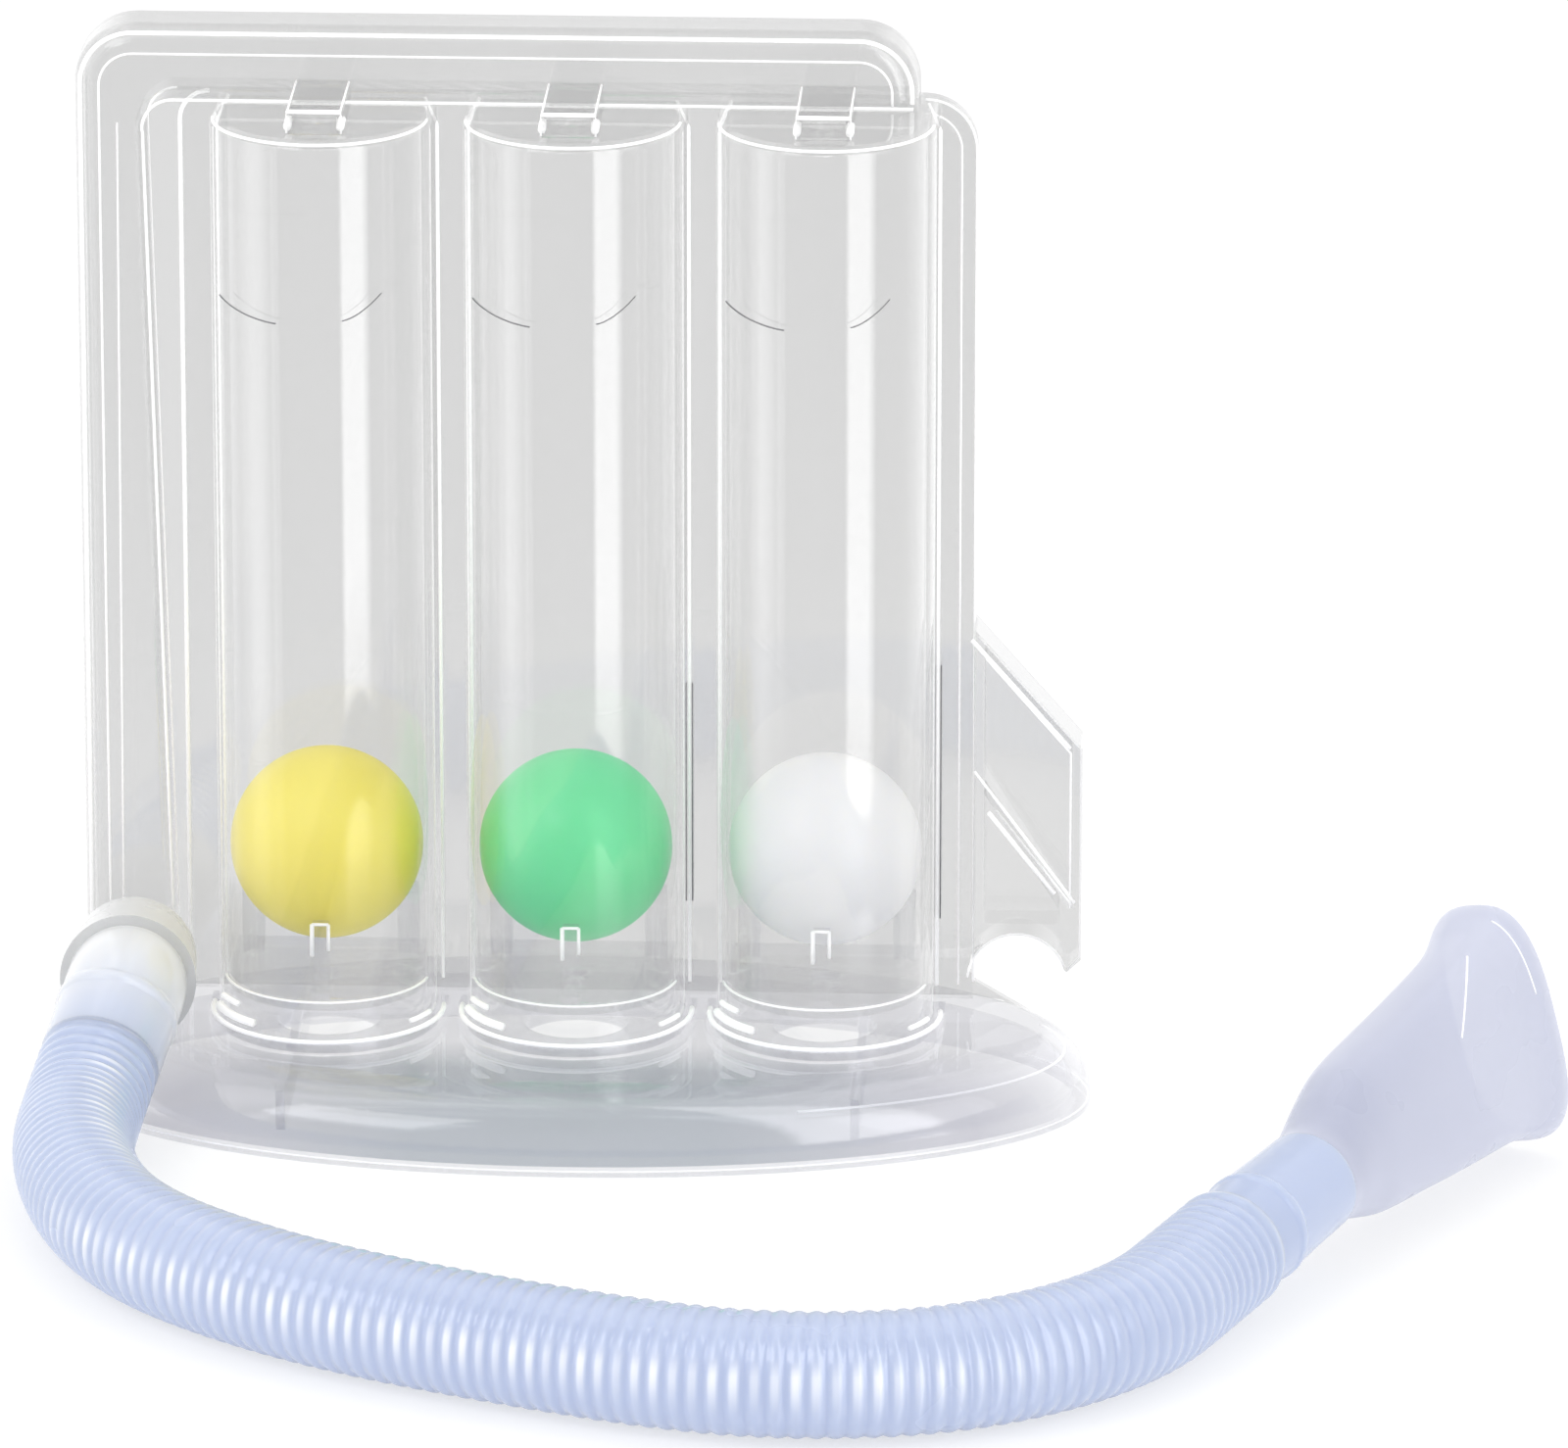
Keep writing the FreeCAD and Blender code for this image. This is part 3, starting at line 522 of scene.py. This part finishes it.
def duct_line(inset, y):
    """The duct's outline from the foot up the left side and over the top, moved inwards."""
    radius = DUCT_CORNER - inset
    return ([(-67.0 + inset, y, 12.0)] + arc((-59.0, y, 139.0), radius, 180, 90)
            + arc((37.6, y, 139.0), radius, 90, 0) + [(45.6 - inset, y, 137.6)])


def chamber_highlight_beads(centre):
    """Painted highlight bead lines of one chamber, from its sides to the floor and the hood on
    top.
    """
    lines = []

    # Painted highlights along the roots where the wall meets the flange, and along the wall's
    # sides
    for side, width in ((-1, 0.27), (1, 0.19)):
        root = centre + side * (TUBE_RADIUS + 0.05)
        root_line = rising_line(root, ROOT_Y, 12.4, 132.6)
        root_line.append((root - side * 1.6, ROOT_Y, 136.3))
        lines.append((root_line, width))
        lines.append((rising_line(centre + side * 14.45, 1.5, 12.6, 134.5), 0.09))

    # Painted highlights on the top's rim, the foot's socket and the disc's rim
    lines.append((chamber_arc(centre, 136.55, TUBE_RADIUS - 0.45, -88, 88), 0.22))
    lines.append((chamber_arc(centre, 12.25, TUBE_RADIUS + 0.9, -95, 95), 0.34))
    lines.append((chamber_arc(centre, 17.3, TUBE_RADIUS - 0.9, -80, 80), 0.18))

    # Painted highlight outline of the disc's post in front of the ball
    post_left, post_right, post_y = centre - 1.1, centre + 1.1, -13.9
    lines.append((rising_line(post_left, post_y, 23.6, POST_TOP), 0.30))
    lines.append((rising_line(post_right, post_y, 24.4, POST_TOP), 0.24))
    lines.append(([(post_left, post_y, POST_TOP), (post_right, post_y, POST_TOP)], 0.22))

    # Painted highlights on the outlet hood's front frame and sides
    hood_left, hood_right, hood_y = centre - 3.6, centre + 3.6, -11.4
    hood_edge = [(hood_left, hood_y, HOOD_TOP), (hood_right, hood_y, HOOD_TOP)]
    lines.append(([(hood_left, hood_y, 137.2), *hood_edge, (hood_right, hood_y, 137.2)], 0.16))
    lines.append((hood_edge, 0.30))
    for side in (-3.5, 3.5):
        lines.append(([(centre + side, -11.2, HOOD_TOP), (centre + side, 4.2, HOOD_TOP)], 0.15))

    # Painted crescents of light at the chamber's foot, and short painted glints beside the hood
    for low, high, level, width in (
            (-74, -38, 13.6, 0.55), (-66, -50, 15.6, 0.40), (52, 70, 13.4, 0.34)):
        lines.append((chamber_arc(centre, level, TUBE_RADIUS + 0.25, low, high), width))
    for side in (-3.5, 3.5):
        lines.append(([(centre + side, -11.3, 138.0), (centre + side, -8.2, 138.3)], 0.55))
    return lines


duct_edge_highlights = make_beads("duct_edge_highlights", [
    # painted highlights on the outer rim, the inner rim and a line down the leg
    (duct_line(0.9, 5.6), 0.30),
    (duct_line(3.5, 4.6), 0.16),
    ([(-61.8, 4.7, 13.0), (-61.1, 4.7, 134.0)], 0.13),
    # painted highlights on the duct's inner side, at its front and where it meets the panel
    ([(-54.75, STEP_Y, 12.6), (-57.75, STEP_Y, 132.6)]
     + arc((-53.75, STEP_Y, 133.0), 4.1, 180, 90) + [(44.9, STEP_Y, 137.1)], 0.20),
    ([(-54.7, 12.0, 12.6), (-57.7, 12.0, 132.6)]
     + arc((-53.7, 12.0, 133.0), 4.0, 180, 90), 0.15),
])
# painted highlights along the flange's edges
flange_edge_highlights = make_beads("flange_edge_highlights", [
    ([(-53.3, FLANGE_Y, 12.3)] + arc((-49.3, FLANGE_Y, 132.8), 4.0, 180, 90), 0.30),
    ([(53.2, FLANGE_Y, 12.9)] + arc((46.3, FLANGE_Y, 129.9), 6.9, 0, 90), 0.16),
    ([(51.2, 11.2, 12.5)] + arc((46.2, 11.2, 129.9), 5.0, 0, 78), 0.12),
])
chamber_edge_highlights = make_beads(
    "chamber_edge_highlights", [line for centre in CHAMBERS for line in chamber_highlight_beads(centre)])
fin_edge_highlights = make_beads("fin_edge_highlights", [
    # painted highlights on the fin's outline and the rim inside it
    ([(53.9, FIN_Y, 63.4), (67.75, FIN_Y, 47.7), (67.75, FIN_Y, 18.2), (66.2, FIN_Y, 16.4)],
     0.15),
    ([(53.0, 6.70, 62.9), (66.3, 6.70, 47.8)], 0.32),
    ([(54.9, FIN_Y, 60.3), (66.4, FIN_Y, 47.1), (66.4, FIN_Y, 25.2)], 0.16),
    # painted highlights on the slanted rib across it
    ([(53.4, FIN_Y, 44.4), (67.0, FIN_Y, 25.9)], 0.22),
    ([(55.3, FIN_Y, 38.6), (64.3, FIN_Y, 27.2)], 0.32),
    ([(56.3, FIN_Y, 39.0), (66.9, FIN_Y, 25.2)], 0.14),
    # painted highlights on the holder's notch and the fin's rear edge
    (arc((59.3, FIN_Y, 14.6), 6.75, 176, 20), 0.16),
    ([(67.75, 12.9, 47.7), (67.75, 12.9, 18.2)], 0.12),
])
# painted highlights on the mouthpiece's lip, its flare and its side
lip_line = [bill_point(BILL_LENGTH, turn, -0.2) for turn in range(0, 361, 5)]
flare_line = [bill_point(50.0, turn, -0.10) for turn in range(20, 84, 4)]
SIDE_STEPS = 12
side_line = [bill_point(43.0 - 11.0 * step / SIDE_STEPS, 21 + 47 * step / SIDE_STEPS, -0.06)
             for step in range(SIDE_STEPS + 1)]
mouth_edge_highlights = make_beads("mouthpiece_edge_highlights", [
    (lip_line, 0.26),
    (flare_line, 0.16),
    (side_line, 0.17),
], "mouthpiece")
# painted highlights along the foot's rim and on its dome
foot_edge_highlights = make_beads("foot_edge_highlights", [
    (foot_arc(69.2, 34.2, 0.75, 150, 391), 0.12),
    (foot_arc(66.0, 31.0, 7.3, -62, 21), 0.18),
])


# Dark lines: two short level marks on the front of each chamber, and a shade beside two of them

def mark_line(centre, turns, level, rise, start, run):
    """Line on a chamber's front that bends upwards from the turn where it starts."""
    points = []
    for turn in turns:
        z = level + rise * (abs(turn - start) / run) ** 1.5
        points.append(around(centre, math.radians(turn), TUBE_RADIUS + 0.02, z))
    return points


LEFT_TURNS, RIGHT_TURNS = range(-62, -19, 3), range(15, 38, 2)
mark_lines = []
for centre in CHAMBERS:
    mark_lines.append((mark_line(centre, LEFT_TURNS, 112.0, 1.9, -20, 42), 0.11))
    mark_lines.append((mark_line(centre, RIGHT_TURNS, 112.6, 3.0, 15, 21), 0.09))
level_marks = make_beads("level_marks", mark_lines)
root_shades = make_beads("root_shades", [
    (rising_line(centre + TUBE_RADIUS + 0.42, 10.95, low, high), 0.10)
    for centre, low, high in ((0.0, 24.0, 55.0), (PITCH, 22.0, 58.0))])


# Nodes that the materials share

OPAQUE_WHITE = (1.0, 1.0, 1.0, 1.0)


def feed(links, inlet, value):
    """Link a socket to an inlet, or set the inlet to a number or to an opaque colour."""
    if isinstance(value, bpy.types.NodeSocket):
        links.new(value, inlet)
    elif inlet.type == "RGBA":
        inlet.default_value = (*value, 1.0)
    else:
        inlet.default_value = value


def add_math(nodes, links, operation, *values):
    """Result of a sum on values that are numbers or sockets."""
    node = nodes.new("ShaderNodeMath")
    node.operation = operation
    for inlet, value in zip(node.inputs, values):
        feed(links, inlet, value)
    return node.outputs["Value"]


def add_range(nodes, links, source, start, stop, low=0.0, high=1.0, kind="LINEAR"):
    """Value that goes from low to high while the source goes from start to stop."""
    node = nodes.new("ShaderNodeMapRange")
    node.interpolation_type = kind
    node.inputs["From Min"].default_value = start
    node.inputs["From Max"].default_value = stop
    node.inputs["To Min"].default_value = low
    node.inputs["To Max"].default_value = high
    links.new(source, node.inputs["Value"])
    return node.outputs["Result"]


def mix_colours(nodes, links, amount, first, second):
    """Colour between two that are each a tuple or a socket."""
    mix = nodes.new("ShaderNodeMix")
    mix.data_type = "RGBA"
    for slot, value in ((0, amount), (6, first), (7, second)):
        feed(links, mix.inputs[slot], value)
    return mix.outputs[2]


def mix_shaders(nodes, links, amount, first, second):
    mix = nodes.new("ShaderNodeMixShader")
    for inlet, source in zip(mix.inputs, (amount, first, second)):
        links.new(source, inlet)
    return mix.outputs["Shader"]


def object_axes(nodes, links):
    place = nodes.new("ShaderNodeTexCoord")
    split = nodes.new("ShaderNodeSeparateXYZ")
    links.new(place.outputs["Object"], split.inputs["Vector"])
    return split.outputs


def seen_directly(nodes, links, path):
    """1 for what the camera sees, straight or through a refracting piece, and 0 for the rest."""
    return add_math(nodes, links, "MAXIMUM", path.outputs["Is Camera Ray"],
                    path.outputs["Is Transmission Ray"])


def add_noise(nodes, links, scale, detail=3.0, stretch=(1, 1, 1)):
    coordinates = nodes.new("ShaderNodeTexCoord")
    mapping = nodes.new("ShaderNodeMapping")
    mapping.inputs["Scale"].default_value = stretch
    noise = nodes.new("ShaderNodeTexNoise")
    noise.inputs["Scale"].default_value = scale
    noise.inputs["Detail"].default_value = detail
    links.new(coordinates.outputs["Object"], mapping.inputs["Vector"])
    links.new(mapping.outputs["Vector"], noise.inputs["Vector"])
    return noise.outputs["Fac"]


def add_bump(nodes, links, noise, strength, distance):
    bump = nodes.new("ShaderNodeBump")
    bump.inputs["Strength"].default_value = strength
    bump.inputs["Distance"].default_value = distance
    links.new(noise, bump.inputs["Height"])
    return bump


def vary_surface(nodes, links, shader, scale, low, high, roughness):
    """Colour and roughness that both drift with one noise."""
    noise = add_noise(nodes, links, scale)
    links.new(mix_colours(nodes, links, noise, low, high), shader.inputs["Base Color"])
    links.new(add_range(nodes, links, noise, 0.35, 0.65, *roughness), shader.inputs["Roughness"])


def add_grain(nodes, links, shader, scale, detail, strength, distance):
    bump = add_bump(nodes, links, add_noise(nodes, links, scale, detail), strength, distance)
    links.new(bump.outputs["Normal"], shader.inputs["Normal"])


# Materials

def new_material(name):
    material = bpy.data.materials.new(name)
    material.use_nodes = True
    nodes = material.node_tree.nodes
    return material, nodes, material.node_tree.links, nodes["Principled BSDF"]


def darken_front_with_painted_reflection(nodes, links, shade, front_reflection_tint, end_reflection_tint):
    """Denser colour at the front of the foot's dome, where its wall is seen at its thickest, and
    bluer there as a painted reflection of the hose in front of it; the rim's upright faces keep
    the plain colour, a lighter painted highlight line.
    """
    axes = object_axes(nodes, links)
    depth = add_range(nodes, links, axes["Y"], -10.0 * MM, -21.0 * MM)
    off_centre = add_math(nodes, links, "ABSOLUTE", axes["X"])
    to_ends = add_range(nodes, links, off_centre, 20.0 * MM, 50.0 * MM)
    dense_and_reflected = mix_colours(nodes, links, to_ends, front_reflection_tint, end_reflection_tint)
    geometry = nodes.new("ShaderNodeNewGeometry")
    outside = add_math(nodes, links, "SUBTRACT", 1.0, geometry.outputs["Backfacing"])
    facing = nodes.new("ShaderNodeSeparateXYZ")
    links.new(geometry.outputs["Normal"], facing.inputs["Vector"])
    # upright rim faces are left out, so they stay lighter as a painted highlight line along the
    # rim
    upward = add_math(nodes, links, "GREATER_THAN", facing.outputs["Z"], 0.03)
    dome = add_math(nodes, links, "MULTIPLY", outside, upward)
    amount = add_math(nodes, links, "MULTIPLY", depth, dome)
    return mix_colours(nodes, links, amount, shade, dense_and_reflected)


def clear_plastic(name, tint, shine_share=0.045, front_reflection_tint=None, end_reflection_tint=None):
    """Moulded clear plastic: tinted, see-through, and a mirror where it is seen along its face."""
    material, nodes, links, shader = new_material(name)
    nodes.remove(shader)
    waves = add_noise(nodes, links, 30.0, 1.0, (1, 1, 0.25))
    bump = add_bump(nodes, links, waves, 0.15, 0.4 * MM)
    soft_edge = nodes.new("ShaderNodeBevel")
    soft_edge.samples = 3
    soft_edge.inputs["Radius"].default_value = 0.55 * MM
    links.new(soft_edge.outputs["Normal"], bump.inputs["Normal"])
    clear = nodes.new("ShaderNodeBsdfTransparent")
    shade = mix_colours(nodes, links, waves, [c ** 0.5 - 0.01 for c in tint],
                        [c ** 0.5 + 0.01 for c in tint])
    # on the foot: a darker front with a painted reflection of the hose
    if front_reflection_tint:
        shade = darken_front_with_painted_reflection(nodes, links, shade, front_reflection_tint, end_reflection_tint)
    links.new(shade, clear.inputs["Color"])
    shine = nodes.new("ShaderNodeBsdfGlossy")
    shine.inputs["Color"].default_value = OPAQUE_WHITE
    shine.inputs["Roughness"].default_value = 0.0
    links.new(bump.outputs["Normal"], shine.inputs["Normal"])
    slope = nodes.new("ShaderNodeLayerWeight")
    links.new(bump.outputs["Normal"], slope.inputs["Normal"])
    steep = add_math(nodes, links, "POWER", slope.outputs["Facing"], 4.0)
    share = add_range(nodes, links, steep, 0.0, 1.0, shine_share, 0.95)
    glazed = mix_shaders(nodes, links, share, clear.outputs["BSDF"], shine.outputs["BSDF"])
    path = nodes.new("ShaderNodeLightPath")
    lit = nodes.new("ShaderNodeBsdfTransparent")
    final = mix_shaders(nodes, links, path.outputs["Is Shadow Ray"], glazed, lit.outputs["BSDF"])
    links.new(final, nodes["Material Output"].inputs["Surface"])
    return material


def milky_plastic(name, low, high, solid, tint):
    """Translucent plastic: a pale coat over what shows through it, denser along its edges."""
    material, nodes, links, shader = new_material(name)
    vary_surface(nodes, links, shader, 60.0, low, high, (0.25, 0.35))
    add_grain(nodes, links, shader, 70.0, 1.0, 0.12, 0.2 * MM)
    clear = nodes.new("ShaderNodeBsdfTransparent")
    feed(links, clear.inputs["Color"], tint)
    slope = nodes.new("ShaderNodeLayerWeight")
    share = add_range(nodes, links, slope.outputs["Facing"], 0.0, 1.0, solid, 0.97)
    mixed = mix_shaders(nodes, links, share, clear.outputs["BSDF"], shader.outputs["BSDF"])
    links.new(mixed, nodes["Material Output"].inputs["Surface"])
    return material


def ball_plastic(name, low, high):
    material, nodes, links, shader = new_material(name)
    vary_surface(nodes, links, shader, 60.0, low, high, (0.38, 0.48))
    add_grain(nodes, links, shader, 900.0, 2.0, 0.12, 0.05 * MM)
    shader.inputs["Subsurface Weight"].default_value = 0.25
    shader.inputs["Subsurface Radius"].default_value = (1.0, 0.9, 0.7)
    shader.inputs["Subsurface Scale"].default_value = 0.002
    return material


def hose_plastic(name, low, high):
    material, nodes, links, shader = new_material(name)
    vary_surface(nodes, links, shader, 45.0, low, high, (0.20, 0.28))
    add_grain(nodes, links, shader, 600.0, 2.0, 0.10, 0.08 * MM)
    shader.inputs["Subsurface Weight"].default_value = 0.6
    shader.inputs["Subsurface Radius"].default_value = (0.8, 0.9, 1.0)
    shader.inputs["Subsurface Scale"].default_value = 0.004
    shader.inputs["Coat Weight"].default_value = 0.5
    shader.inputs["Coat Roughness"].default_value = 0.08
    return material


def copy_material(name, base):
    """A copy with its nodes and links, the inlet of its base colour and what feeds that."""
    material = base.copy()
    material.name = name
    nodes, links = material.node_tree.nodes, material.node_tree.links
    inlet = nodes["Principled BSDF"].inputs["Base Color"]
    return material, nodes, links, inlet, inlet.links[0].from_socket


def fading_plastic(name, base):
    """The blue plastic, pale where it sits in the collar and full blue further out."""
    material, nodes, links, inlet, full_blue = copy_material(name, base)
    depth = add_range(nodes, links, object_axes(nodes, links)["Y"], -13.0 * MM, -36.0 * MM,
                      kind="SMOOTHSTEP")
    links.new(mix_colours(nodes, links, depth, (0.79, 0.80, 0.82), full_blue), inlet)
    return material


def painted_glint_plastic(name, base):
    """The blue plastic with pale painted highlights on the crests of the ribs, where these would
    catch the light.
    """
    material, nodes, links, inlet, full_blue = copy_material(name, base)
    painted_glint = nodes.new("ShaderNodeAttribute")
    painted_glint.attribute_name = "painted_glint"
    painted_highlight_colour = mix_colours(nodes, links, painted_glint.outputs["Fac"], full_blue, (0.93, 0.95, 1.0))
    links.new(painted_highlight_colour, inlet)
    return material


def painted_highlight_plastic(name):
    """White plastic with a little glow of its own: painted light for what a moulded edge gathers.
    """
    material = milky_plastic(name, (0.95, 0.95, 0.95), (1.0, 1.0, 1.0), 0.90, (1, 1, 1))
    shader = material.node_tree.nodes["Principled BSDF"]
    # painted light: the beads glow, though they are no lamp
    shader.inputs["Emission Color"].default_value = OPAQUE_WHITE
    shader.inputs["Emission Strength"].default_value = 0.22
    return material


def dress(node, material):
    """Give a CAD node's object one material in all its slots."""
    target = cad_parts[node]
    for index in range(len(target.data.materials)):
        target.data.materials[index] = material
    if not target.data.materials:
        target.data.materials.append(material)


clear_front = clear_plastic("clear_front", (0.92, 0.92, 0.92))
clear_back = clear_plastic("clear_back", (0.68, 0.68, 0.68))
clear_foot = clear_plastic("clear_foot_plastic", (0.84, 0.84, 0.865),
                           front_reflection_tint=(0.53, 0.56, 0.60), end_reflection_tint=(0.68, 0.68, 0.725))
clear_hood = clear_plastic("hood_plastic", (0.80, 0.80, 0.80), shine_share=0.10)
clear_disc = clear_plastic("disc_plastic", (0.86, 0.86, 0.87), shine_share=0.10)
painted_edge_highlight = painted_highlight_plastic("painted_edge_highlight_plastic")
for piece in (duct_edge_highlights, flange_edge_highlights, chamber_edge_highlights, fin_edge_highlights, foot_edge_highlights, mouth_edge_highlights):
    piece.data.materials.append(painted_edge_highlight)
# dark plastic for the level marks, and for the painted shade lines beside the roots
dark_line = milky_plastic("mark_and_painted_shade_plastic", (0.20, 0.20, 0.21), (0.28, 0.28, 0.29), 0.75,
                          (0.8, 0.8, 0.8))
for piece in (level_marks, root_shades):
    piece.data.materials.append(dark_line)
for node in ("front_shell", "duct_shell"):
    dress(node, clear_front)
dress("back_panel", clear_back)
dress("foot", clear_foot)
for side in ("left", "middle", "right"):
    dress("outlet_hood_" + side, clear_hood)
    dress("inlet_disc_" + side, clear_disc)
dress("port_collar", milky_plastic("collar_plastic", (0.84, 0.845, 0.85), (0.89, 0.895, 0.90),
                                   0.50, (0.95, 0.955, 0.96)))
dress("ball_left", ball_plastic("ball_yellow_plastic", (0.98, 0.82, 0.10), (1.0, 0.86, 0.13)))
dress("ball_middle", ball_plastic("ball_green_plastic", (0.15, 0.80, 0.34), (0.18, 0.84, 0.38)))
dress("ball_right", ball_plastic("ball_white_plastic", (0.94, 0.94, 0.93), (0.98, 0.98, 0.97)))
blue = hose_plastic("hose_blue_plastic", (0.455, 0.525, 0.72), (0.495, 0.565, 0.75))
hose.data.materials.append(painted_glint_plastic("hose_ribbed_painted_glint_plastic", blue))
mouth_cuff.data.materials.append(blue)
port_cuff.data.materials.append(fading_plastic("port_cuff_plastic", blue))
mouthpiece.data.materials.append(
    milky_plastic("mouthpiece_plastic", (0.66, 0.685, 0.81), (0.71, 0.73, 0.84), 0.42,
                  (0.88, 0.89, 0.94)))


# Studio: white floor and surround, soft light, and bright and dark bands that gloss reflects

AIM = (0.02, -0.03, 0.06)
# place round the studio as a share of the full turn, and how bright it is there
STUDIO_BANDS = [
    (0.0, 0.25), (0.124, 0.25), (0.130, 0.6), (0.134, 0.6), (0.140, 0.28), (0.16, 0.45),
    (0.195, 0.65), (0.235, 0.5), (0.26, 0.25), (0.33, 0.34), (0.45, 0.34), (0.48, 0.22),
    (0.52, 0.22), (0.55, 0.34), (0.67, 0.34), (0.74, 0.25), (0.845, 0.25), (0.856, 1.0),
    (0.925, 1.0), (0.933, 0.25), (1.0, 0.25),
]


def add_background(nodes, strength):
    background = nodes.new("ShaderNodeBackground")
    background.inputs["Color"].default_value = OPAQUE_WHITE
    background.inputs["Strength"].default_value = strength
    return background


def make_world():
    world = bpy.data.worlds.new("studio")
    bpy.context.scene.world = world
    world.use_nodes = True
    nodes, links = world.node_tree.nodes, world.node_tree.links
    nodes.clear()
    coordinates = nodes.new("ShaderNodeTexCoord")
    split = nodes.new("ShaderNodeSeparateXYZ")
    links.new(coordinates.outputs["Generated"], split.inputs["Vector"])
    azimuth = add_math(nodes, links, "ARCTAN2", split.outputs["X"], split.outputs["Y"])
    turn = add_range(nodes, links, azimuth, -math.pi, math.pi)
    bands = nodes.new("ShaderNodeValToRGB")
    bands.color_ramp.interpolation = "LINEAR"
    stops = bands.color_ramp.elements
    while len(stops) < len(STUDIO_BANDS):
        stops.new(0.5)
    for stop, (place, level) in zip(stops, STUDIO_BANDS):
        stop.position = place
        stop.color = (level, level, level, 1.0)
    links.new(turn, bands.inputs["Fac"])
    studio = add_background(nodes, 4.0)
    links.new(bands.outputs["Color"], studio.inputs["Color"])
    plain = add_background(nodes, 0.90)
    white = add_background(nodes, 1.0)
    path = nodes.new("ShaderNodeLightPath")
    glossy = mix_shaders(nodes, links, path.outputs["Is Glossy Ray"],
                         plain.outputs["Background"], studio.outputs["Background"])
    final = mix_shaders(nodes, links, seen_directly(nodes, links, path), glossy,
                        white.outputs["Background"])
    output = nodes.new("ShaderNodeOutputWorld")
    links.new(final, output.inputs["Surface"])


def matt_glow(nodes, links, brightness, glow):
    """Matt grey that also gives off some light of its own."""
    matt = nodes.new("ShaderNodeBsdfDiffuse")
    matt.inputs["Color"].default_value = (brightness, brightness, brightness, 1.0)
    lamp = nodes.new("ShaderNodeEmission")
    lamp.inputs["Strength"].default_value = glow
    both = nodes.new("ShaderNodeAddShader")
    links.new(matt.outputs["BSDF"], both.inputs[0])
    links.new(lamp.outputs["Emission"], both.inputs[1])
    return both.outputs["Shader"]


def floor_material():
    """White to the camera, softer as a light source, and open to gloss away from the object."""
    material = bpy.data.materials.new("floor_white")
    material.use_nodes = True
    nodes, links = material.node_tree.nodes, material.node_tree.links
    nodes.clear()
    path = nodes.new("ShaderNodeLightPath")
    surface = mix_shaders(nodes, links, seen_directly(nodes, links, path),
                          matt_glow(nodes, links, 0.80, 0.25),
                          matt_glow(nodes, links, 0.42, 0.62))
    coordinates = nodes.new("ShaderNodeTexCoord")
    distance = nodes.new("ShaderNodeVectorMath")
    distance.operation = "LENGTH"
    links.new(coordinates.outputs["Object"], distance.inputs[0])
    far = add_range(nodes, links, distance.outputs["Value"], 0.08, 0.25)
    open_floor = add_math(nodes, links, "MULTIPLY", far, path.outputs["Is Glossy Ray"])
    gap = nodes.new("ShaderNodeBsdfTransparent")
    final = mix_shaders(nodes, links, open_floor, surface, gap.outputs["BSDF"])
    output = nodes.new("ShaderNodeOutputMaterial")
    links.new(final, output.inputs["Surface"])
    return material


def make_floor():
    mesh = bpy.data.meshes.new("floor")
    half = 6.0
    corners = [(-half, -half, 0), (half, -half, 0), (half, half, 0), (-half, half, 0)]
    mesh.from_pydata(corners, [], [(0, 1, 2, 3)])
    floor = add_object("floor", mesh)
    floor.location.z = -0.05 * MM
    floor.data.materials.append(floor_material())


def add_lamp(name, place, target, width, power):
    """Square area lamp that faces its target."""
    lamp_data = bpy.data.lights.new(name, "AREA")
    lamp_data.shape = "RECTANGLE"
    lamp_data.size = width
    lamp_data.size_y = width
    lamp_data.energy = power
    lamp = bpy.data.objects.new(name, lamp_data)
    lamp.location = place
    aim = Vector(target) - Vector(place)
    lamp.rotation_euler = aim.to_track_quat("-Z", "Y").to_euler()
    bpy.context.scene.collection.objects.link(lamp)


make_world()
make_floor()
add_lamp("key", (-0.55, -0.75, 0.95), AIM, 0.5, 2.2)
add_lamp("fill", (0.9, -0.6, 0.7), AIM, 0.7, 1.4)
add_lamp("top", (0.0, 0.15, 1.1), (0.0, 0.0, 0.05), 0.8, 1.2)

bpy.context.scene.view_settings.view_transform = "Standard"
bpy.context.scene.cycles.transparent_max_bounces = 48
